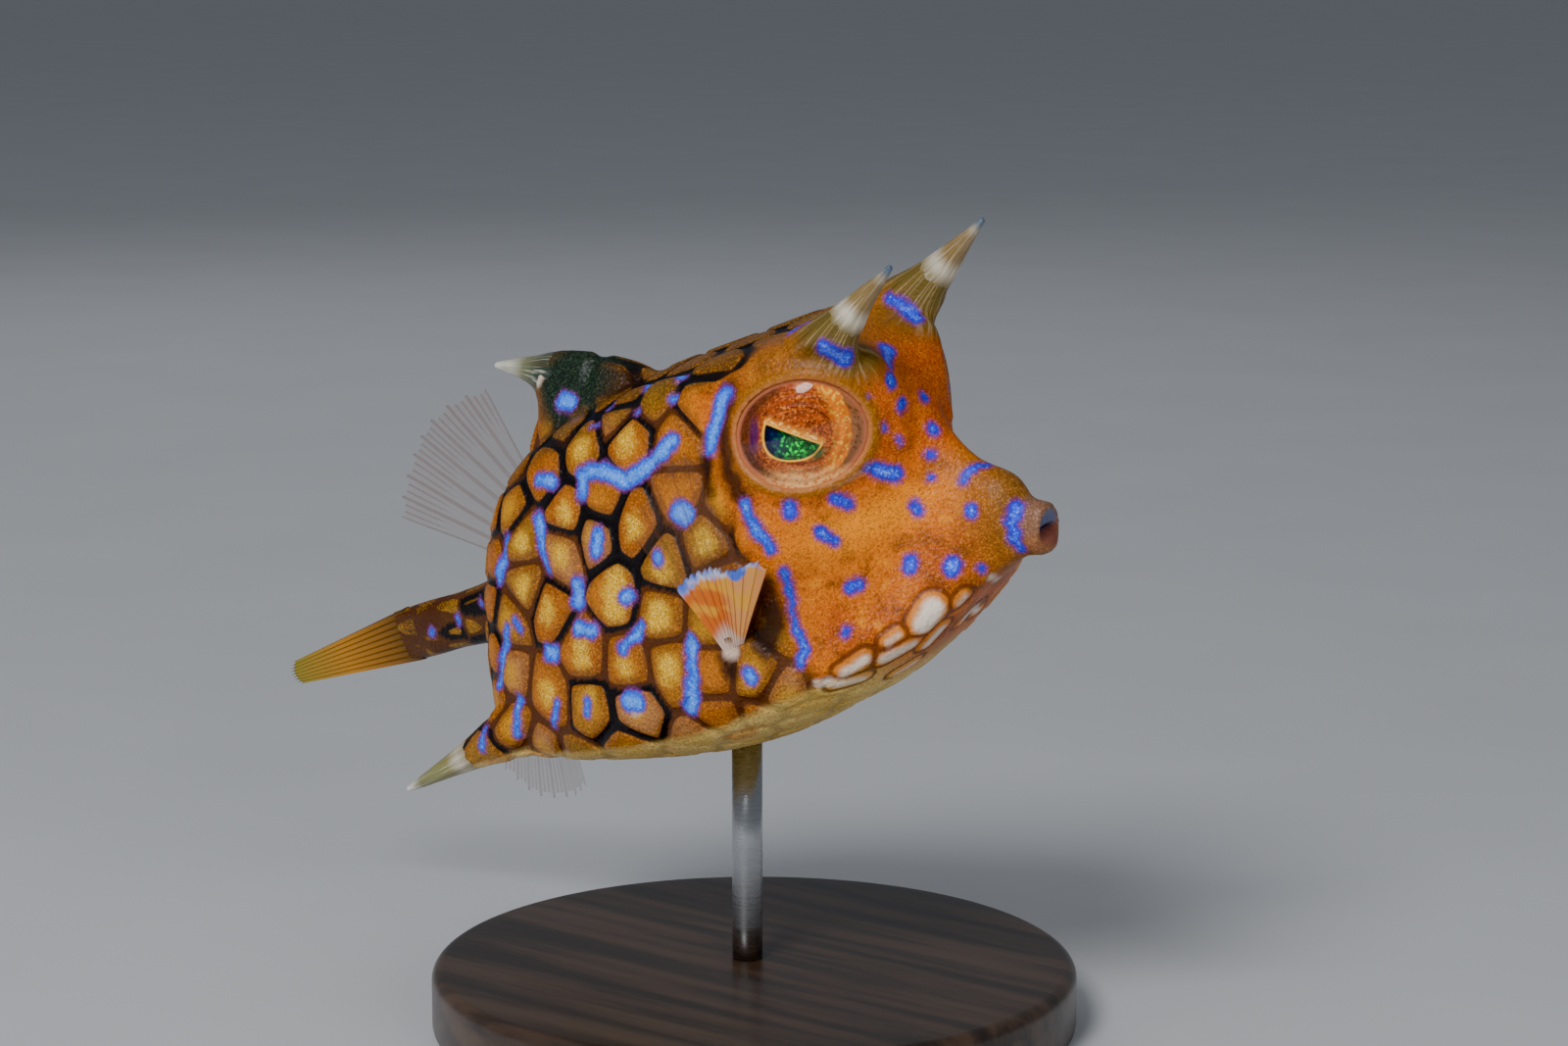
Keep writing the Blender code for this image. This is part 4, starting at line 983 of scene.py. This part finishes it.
def fin_material():
    """Clear vanes with rays, the opaque fan at the pectoral fin's root, and the golden tail fin."""
    made, tree, shader = material("fin", roughness=0.35)
    ray, out, kind, edge = attributes(tree, "ray out kind edge")
    broad = noise(object_place(tree), 260.0, 3.0)
    pectoral, is_tail = span(kind, 0.6, 0.4), span(kind, 1.6, 1.9)
    line = span(abs(maths("FRACT", ray) - 0.5) / (1.25 - out * 0.75), 0.12, 0.05)
    fine_line = span(abs(maths("FRACT", ray * 3.0) - 0.5), 0.13, 0.05) * span(out, 0.5, 0.75)
    lines = larger(line, fine_line * (1.0 - pectoral))
    clear_vane = mix(lines, mix(broad, (150, 110, 84), (124, 88, 62)), (110, 62, 40))
    scallop = span(edge - out + (broad - 0.5) * 0.3, 0.08, 0.03)
    fan = painted(
        mix(span(ray, 4.0, 9.0), (214, 104, 8), (232, 160, 90)),
        (span(broad, 0.5, 0.62) * 0.7, (238, 176, 40)),
        (line * 0.5, (136, 74, 30)),
        (scallop, mix(span(broad, 0.4, 0.6), (70, 110, 220), (206, 206, 226))),
        # Painted sheen: the fan's last rays, along its leading edge, coloured pale orange-cream
        (span(ray, 9.0, 10.4), (226, 150, 84)),
        (span(out, 0.2, 0.1), (214, 186, 170)))
    tail = ramp(out, ((0.0, (64, 44, 10)), (0.2, (128, 82, 12)), (0.55, (176, 118, 18)),
                      (1.0, (136, 122, 34))))
    tail = mix(line * 0.7 * span(out, 0.02, 0.2), tail, (74, 44, 8))
    in_fan = span(out - edge, 0.012, -0.004) * pectoral
    solid = larger(larger(in_fan, is_tail), lines * 0.26 + 0.06)
    fill_inputs(tree, shader, {"Base Color": painted(clear_vane, (in_fan, fan), (is_tail, tail)),
                               "Alpha": larger(solid, span(out, 0.22, 0.1)),
                               "Normal": bump(line, 0.3, 0.0001)})
    return made


def wood_material():
    """Dark polished wood, its grain drawn out along one direction."""
    made, tree, shader = material("base wood", roughness=0.4, coat_weight=0.3, coat_roughness=0.2)
    grain = noise(stretched(object_place(tree), (1.0, 14.0, 14.0)), 22.0, 6.0, 0.6)
    fill_inputs(tree, shader, {"Base Color": mix(span(grain, 0.35, 0.65), (42, 33, 28), (74, 57, 45)),
                               "Normal": bump(grain, 0.15, 0.0002)})
    return made


def steel_material():
    """Steel with fine lines round the rod."""
    made, tree, shader = material("rod steel", roughness=0.26, metallic=1.0)
    lines = noise(stretched(object_place(tree), (1.0, 1.0, 60.0)), 60.0, 3.0)
    fill_inputs(tree, shader, {"Base Color": mix(lines, (176, 178, 182), (206, 208, 210)),
                               "Roughness": lines * 0.15 + 0.2})
    return made


def floor_material():
    """A pale floor with faint clouds."""
    made, tree, shader = material("pale floor", roughness=0.85)
    cloud = noise(object_place(tree), 30.0)
    fill_inputs(tree, shader, {"Base Color": mix(cloud, (196, 198, 202), (204, 206, 210))})
    return made


def region_values(points, normals):
    """The skin's regions as shares from 0 to 1, each a product of smooth steps of place and of facing."""
    x, y, z = points.T
    ahead, _, upward = normals.T
    on_top = smooth(0.5, 0.85, upward) * smooth(20.0, 23.0, z)
    from_lips = np.hypot(y / LIPS_WIDEN, (z - LIPS_LEVEL) / 1.17)
    return {"back": smooth(0.55, 0.85, upward) * smooth(12.0, 18.0, z),
            "trunk": smooth(0.0, 3.0, -26.5 - (x + 0.2 * z) + 8.0 * on_top),
            "low": smooth(0.5, -2.5, z + 6.6 + 0.02 * x) * smooth(-24.0, -30.0, x),
            "belly": smooth(-0.45, -0.75, upward) * smooth(-18.0, -27.0, x) * smooth(-84.0, -78.0, x),
            "thorn": smooth(9.0, 3.5, np.hypot(x + 56.5, (z - 28.0) * 1.3)) * smooth(6.5, 3.5, np.abs(y)),
            "tail": smooth(-78.5, -83.0, x),
            "crown": smooth(19.0, 25.0, z) * smooth(-34.0, -22.0, x),
            "front": smooth(0.35, 0.8, ahead) * smooth(6.0, 14.0, z),
            "cheek": np.exp(-((x + 18.5) / 6.0) ** 2 - ((z - 6.2) / 2.3) ** 2),
            "snout": smooth(-13.5, -8.0, x) * smooth(12.0, 8.0, z),
            "sky": smooth(-24.0, -30.0, x),
            "lip": smooth(-5.9, -5.0, x) * smooth(3.4, 2.9, from_lips) * 0.9,
            "muzzle": smooth(-8.2, -6.2, x),
            "upper": smooth(-0.9, -0.3, z),
            "inner": smooth(1.9, 1.3, from_lips) * smooth(-6.5, -5.5, x),
            "knob": smooth(1.5, 0.6, np.linalg.norm(points - FIN_KNOB, axis=1))}


def spike_feet(points):
    """How close each skin point is to the foot of a horn, 1 there, and its direction round the horn."""
    near, first, second = (np.zeros(len(points)) for _ in range(3))
    table = np.array(SPIKES["horn"])
    for side in SIDES.values():
        away = points - spline(table, np.array([2.6]))[0, :3] * flip(side)
        axis = unit(table[3, :3] - table[1, :3]) * flip(side)
        down = -(away @ axis)
        aside = away + down[:, None] * axis
        reach = np.linalg.norm(aside, axis=1)
        closeness = smooth(10.0, 0.5, down) * smooth(8.5, 4.0, reach)
        across = unit(np.cross(axis, (0.0, 1.0, 0.0)))
        here = closeness > near
        first = np.where(here, aside @ across / (reach + 0.01), first)
        second = np.where(here, aside[:, 1] / (reach + 0.01), second)
        near = np.maximum(near, closeness)
    return {"foot": near, "foot_ahead": first, "foot_aside": second}


def raised_plates(points, normals, values):
    """The skin with its plates and its jaw's cells raised along its normals, each with a sloping border."""
    lift = np.maximum(values["trunk"], values["low"]) * smooth(-77.0, -73.0, points[:, 0])
    lift = lift * (1 - 0.45 * values["belly"])
    height = PLATE_RAISE * (smooth(0.0, PLATE_SLOPE, values["border"]) - 0.75) * lift
    in_jaw = smooth(-0.5, -0.1, values["outline"])
    height = height * (1 - in_jaw) + JAW_RAISE * (smooth(0.0, 0.8, values["outline"]) - 0.5) * in_jaw
    return points + normals * height[:, None]


def add_sockets(points):
    """The skin with a lid round each eye, its socket sunk inside, and two shares: near and on the lid.

    Along the eye's axis the skin is brought to the bare skin's height, plus a rounded roll round the eye,
    plus faint folds outside the roll. Points just inside the rim are first drawn out to it.
    """
    near_lid, on_lid = np.zeros(len(points)), np.zeros(len(points))
    for side in SIDES.values():
        middle, outward, long_axis, short_axis = eye_frame(side)
        away = points - middle
        u, v, h = away @ long_axis, away @ short_axis, away @ outward
        reach = np.hypot(u / EYE_LENGTHEN, v)
        near = (reach < EYE_RADIUS + 4) & (np.abs(h) < 5)
        past = reach - EYE_RADIUS
        drawn = near & (past > -0.4) & (past < 0.0)
        scale = np.where(drawn, (EYE_RADIUS - 0.015) / np.maximum(reach, 0.1), 1.0)
        points = points + (u * (scale - 1))[:, None] * long_axis + (v * (scale - 1))[:, None] * short_axis
        u, v, past = u * scale, v * scale, np.where(drawn, -0.015, past)
        roll = 0.6 * np.exp(-((past - 0.5) / 0.62) ** 2)
        folds = 0.09 * np.sin(past * 5.2) * smooth(0.8, 1.4, past) * smooth(3.6, 2.4, past)
        sunk = np.where(past < -0.05, SOCKET_DEPTH, 0.0)
        target = cubic_terms(u, v) @ eye_heights(side) + roll + folds - sunk
        share = np.where(near, smooth(4.0, 1.8, past), 0.0)
        points = points + outward * ((target - h) * share)[:, None]
        near_lid = np.maximum(near_lid, np.where(near, smooth(1.5, 0.5, past), 0.0))
        on_lid = np.maximum(on_lid, np.where(near, smooth(0.5, 0.1, past), 0.0))
    return points, near_lid, on_lid


def build_skin():
    """One skin for head, trunk and tail stalk: its points, its regions and marks as values, and its quads."""
    points, normals, quads = grown_skin()
    middles, black_rims, shades = plate_middles(points, normals)
    own, lead, border = plate_fields(points, middles)
    white, outline = jaw_fields(points, normals)
    values = region_values(points, normals)
    rim = np.maximum(black_rims[own] * (1 - values["belly"]), values["back"]) * values["trunk"]
    values.update(border=border, lead=lead, each=shades[own], rim=rim, white=white, outline=outline)
    values.update(spike_feet(points))
    for key, marks in (("blue", BLUE_MARKS), ("dark", DARK_AND_SHADE_MARKS), ("pale", PALE_MARKS),
                       ("gold", GOLD_MARKS)):
        values[key] = mark_distance(marks, points, normals)
    moved, near_lid, on_lid = add_sockets(raised_plates(points, normals, values))
    x, y, z = points.T
    # The slit between the lips: a shallow groove, whose share also colours it with painted shade
    slot = smooth(0.26, 0.06, np.abs(z + 0.62 + 0.1 * (x + 4.0))) * smooth(-6.6, -5.6, x)
    slot = slot * smooth(2.6, 2.0, np.abs(y))
    moved[:, 0] -= 0.6 * slot * smooth(1.5, 1.0, np.abs(y))
    values.update(mouth=slot * smooth(1.5, 1.1, np.abs(y)), rim_gold=near_lid, lid_edge=on_lid * 0.8)
    return moved, values, quads


def spike_piece(name, side, node_name, made, kind):
    """A spike from under the skin to its tip: faint ridges along it, its foot drawn in, its tip rounded."""
    run = np.linspace(0, 1, SPIKE_ROWS)
    start, end = SPIKE_PARTINGS[name] - SPIKE_OVERLAP, len(SPIKES[name]) - 1
    rings = spike_rings(name, side, start, end, SPIKE_ROWS, SPIKE_SIDES)
    foot = 0.93 + 0.07 * smooth(0.0, 0.12, run)
    tip = np.sqrt(np.clip((1.003 - run) / 0.02, 0.02, 1))
    around = turns(SPIKE_SIDES)
    ridges = 1.0 + 0.018 * np.sin(around * 9 + 2 * run[:, None]) * smooth(1.0, 0.8, run)[:, None]
    middle = rings.mean(1, keepdims=True)
    points, faces = capped_tube(middle + (rings - middle) * (foot * tip)[:, None, None] * ridges[..., None])
    values = {"run": np.concatenate([np.repeat(run, SPIKE_SIDES), [0.0, 1.0]]),
              "turn": np.concatenate([np.tile(np.sin(around), SPIKE_ROWS), [0.0, 0.0]]),
              "kind": np.full(len(points), kind)}
    mesh_piece(node_name, to_world(points), faces, made, (node_name,), values)


def eye_pieces(side_name, side, iris, glass):
    """The iris and pupil as one shallow dish, and the clear cornea bulging over it.

    Both are oval rings round the eye's middle, raised above the bare skin by a height that follows from the
    share of the radius. The pupil is the part of a rounded oval (power 2.4) below a slanting straight edge.
    """
    middle, outward, long_axis, short_axis = eye_frame(side)
    heights = eye_heights(side)
    share = np.linspace(0.0, 1.0, EYE_RINGS + 1)[1:, None]
    turn = turns(EYE_SIDES)[None, :]
    east, north = share * np.cos(turn), share * np.sin(turn)
    u, v = east * EYE_REACH * EYE_LENGTHEN, north * EYE_REACH
    bare = cubic_terms(u, v) @ heights
    flat = middle + u[..., None] * long_axis + v[..., None] * short_axis

    up = north * side
    level_east = east * math.cos(EYE_TILT) - up * math.sin(EYE_TILT)
    level_north = east * math.sin(EYE_TILT) + up * math.cos(EYE_TILT)
    ahead, above = np.abs(level_east + 0.1) / 0.415, np.abs(level_north) / 0.445
    oval = (ahead ** 2.4 + above ** 2.4 + 1e-6) ** (1 / 2.4) - 1.0
    slant = (level_north + 0.05 + 0.487 * level_east) / 0.45
    pupil = np.maximum(oval, slant) * 0.4
    lid = np.exp(-((slant - 0.16) / 0.15) ** 2) * smooth(0.2, 0.05, oval)
    rise = (IRIS_RISE - 0.5 * share ** 2 - PUPIL_SINK * smooth(0.02, -0.1, pupil)
            + 0.12 * np.exp(-(pupil / 0.05) ** 2) + 0.05 * np.sin(share * 42.0) * smooth(0.35, 0.5, share))
    front = flat + (bare + rise)[..., None] * outward
    back = middle + (flat[-1:] - middle) * 0.9 - SOCKET_DEPTH * outward
    ends = middle + (heights[0] + IRIS_RISE - PUPIL_SINK) * outward, middle - SOCKET_DEPTH * outward
    points, faces = capped_tube(np.concatenate([front, back]), ends)
    values = {}
    for key, grid, at_centre, at_back in (
            ("away", share, 0.0, 1.0), ("turn", np.sin(turn), 0.0, 0.0), ("east", level_east, 0.0, 0.0),
            ("north", level_north, 0.0, 0.0), ("lid", lid, 0.0, 0.0), ("pupil", pupil, pupil.min(), 1.0)):
        grid = np.broadcast_to(grid, east.shape).ravel()
        values[key] = np.concatenate([grid, np.full(EYE_SIDES, at_back), [at_centre, at_back]])
    mesh_piece(f"iris_{side_name}", to_world(points), faces, iris, (f"eye_{side_name}",), values)

    dome = bare + 1.35 * np.clip(1 - share ** 2, 0, 1) ** 0.6 - 0.15
    top = flat + dome[..., None] * outward
    under = top[::-1] - CORNEA_THICK * outward
    apex = middle + (heights[0] + 1.2) * outward
    points, faces = capped_tube(np.concatenate([top, under]), (apex, apex - CORNEA_THICK * outward))
    cornea = mesh_piece(f"cornea_{side_name}", to_world(points), faces, glass, (f"eye_{side_name}",))
    cornea.visible_shadow = False


def fin_piece(name, made, kind):
    """A vane: its middle surface, waved and thickened by a half width with a crest along each ray."""
    rays, is_tail = FINS[name][2], name == "caudal_fin"
    g, f = np.meshgrid(np.linspace(0.0 if is_tail else 0.04, 1.0, FIN_ROWS),
                       np.linspace(0, 1, 24 * (rays - 1) + 1), indexing="ij")
    ray = f * (rays - 1) + 0.5
    crest = np.exp(-(np.abs(ray % 1 - 0.5) / 0.1) ** 2)
    fringe = 0.035 * (crest - 0.5) * smooth(0.8, 1.0, g)
    wave = 0.35 * np.sin(f * 9.0 + 2.0) * smooth(0.3, 1.0, g) * (not is_tail)
    normal = fin_normals(name, f, g)
    middle = fin_surface(name, f, g + fringe) + normal * wave[..., None]
    thick, ridge = (0.5, 0.2) if is_tail else (0.16, 0.13)
    border = smooth(0.0, 0.012, np.minimum(f, 1 - f)) * 0.8 + 0.2
    half = (thick * (1 - 0.55 * g) + ridge * crest * (1 - 0.7 * g)) * border
    points, faces = sheet_solid(middle + normal * half[..., None], middle - normal * half[..., None])
    edge = np.interp(f, FAN_PLACES, FAN_EDGE) + 0.022 * np.abs(np.sin(np.pi * (ray - 0.5) * 1.5))
    fields = {"ray": ray, "out": g, "edge": edge, "kind": np.full(g.shape, kind)}
    mesh_piece(name, to_world(points), faces, made, (name,),
               {key: np.tile(value.ravel(), 2) for key, value in fields.items()})


def lathe(profile, sides=256):
    """A lathe shape: each (radius, height) of the profile swept round the upright axis."""
    profile, turn = np.array(profile), turns(sides)[None, :]
    return np.stack([profile[:, :1] * np.cos(turn), profile[:, :1] * np.sin(turn),
                     np.broadcast_to(profile[:, 1:], (len(profile), sides))], -1)


def build_stand(skin, wood, steel):
    """A round base with a rounded edge, and a rod that ends on a plane laid through the belly above it."""
    profile = [(0.01, 0.0), (BASE_RADIUS - 0.6, 0.0), (BASE_RADIUS - 0.1, 0.2), (BASE_RADIUS, 0.7)]
    profile += [(BASE_RADIUS - BASE_BEVEL * (1 - math.cos(a)), BASE_THICK - BASE_BEVEL * (1 - math.sin(a)))
                for a in np.linspace(0, np.pi / 2, 12).tolist()]
    profile += [(BASE_RADIUS - 4.0, BASE_THICK), (0.01, BASE_THICK)]
    points, faces = capped_tube(lathe(profile))
    mesh_piece("stand_base", points * MM, faces, wood, ("stand_base",))
    beside = np.hypot(skin[:, 0] - ROD_PLACE[0], skin[:, 1] - ROD_PLACE[1])
    under = skin[(beside < 2.6) & (skin[:, 2] < CENTRE_HEIGHT - 4)]
    terms = np.stack([np.ones(len(under)), under[:, 0], under[:, 1]], -1)
    plane = np.linalg.lstsq(terms, under[:, 2], rcond=None)[0]
    heights = (BASE_THICK - 0.3, BASE_THICK + 4, 20.0, 30.0)
    rings = lathe([(ROD_RADIUS, height) for height in heights], 64) + (*ROD_PLACE, 0.0)
    rings[-1, :, 2] = plane[0] + plane[1] * rings[-1, :, 0] + plane[2] * rings[-1, :, 1] - 0.05
    points, faces = capped_tube(rings)
    mesh_piece("stand_rod", points * MM, faces, steel, ("stand_rod",))


def build_light_and_camera():
    """A pale floor, four round lamps, a dim sky, and the camera of the photo."""
    scene = bpy.context.scene
    floor_mesh = bpy.data.meshes.new("floor")
    floor_mesh.from_pydata([(-FLOOR_REACH, -FLOOR_REACH, 0), (FLOOR_REACH, -FLOOR_REACH, 0),
                            (FLOOR_REACH, FLOOR_REACH, 0), (-FLOOR_REACH, FLOOR_REACH, 0)],
                           [], [(0, 1, 2, 3)])
    floor_mesh.materials.append(floor_material())
    floor = bpy.data.objects.new("floor", floor_mesh)
    scene.collection.objects.link(floor)
    for name, spot, size, power in LAMPS:
        data = bpy.data.lights.new(name, "AREA")
        data.shape, data.size, data.energy = "DISK", size, power
        lamp = bpy.data.objects.new(name, data)
        lamp.location = spot
        lamp.visible_glossy = name == "key"
        lamp.visible_transmission = False
        lamp.rotation_euler = (Vector(LAMP_TARGET) - Vector(spot)).to_track_quat("-Z", "Y").to_euler()
        scene.collection.objects.link(lamp)
    world = bpy.data.worlds.new("studio")
    world.use_nodes = True
    sky = world.node_tree.nodes["Background"].inputs
    sky[0].default_value, sky[1].default_value = srgb(214, 222, 232), 0.4
    scene.world = world
    scene.view_settings.look = "AgX - Punchy"
    right, upward, forward = camera_axes()
    data = bpy.data.cameras.new("camera")
    data.sensor_width, data.lens = SENSOR_WIDTH, FOCAL_PIXELS / FRAME_WIDTH * SENSOR_WIDTH
    data.clip_start, data.clip_end = 0.01, 20.0
    camera = bpy.data.objects.new("camera", data)
    turn = Matrix((right, upward, -forward)).transposed().to_4x4()
    camera.matrix_world = Matrix.Translation(EYE_POINT * MM) @ turn
    scene.collection.objects.link(camera)
    scene.camera = camera


make_groups()
skin_points, skin_values, skin_quads = build_skin()
mesh_piece("skin", to_world(skin_points), [skin_quads], skin_material(),
           ("head", "trunk", "tail_stalk"), skin_values)
horn_look, iris_look, glass_look = spike_material(), iris_material(), glass_material()
for this_side, towards in SIDES.items():
    spike_piece("horn", towards, f"horn_{this_side}", horn_look, 0.0)
    spike_piece("rear_spine", towards, f"rear_spine_{this_side}", horn_look, 1.0)
    eye_pieces(this_side, towards, iris_look, glass_look)
spike_piece("back_thorn", 1.0, "back_thorn", horn_look, 0.5)
fin_look = fin_material()
for fin_name, fin_kind in (("pectoral_fin_right", 0.0), ("pectoral_fin_left", 0.0), ("dorsal_fin", 1.0),
                           ("anal_fin", 1.0), ("caudal_fin", 2.0)):
    fin_piece(fin_name, fin_look, fin_kind)
build_stand(to_world(skin_points) / MM, wood_material(), steel_material())
build_light_and_camera()
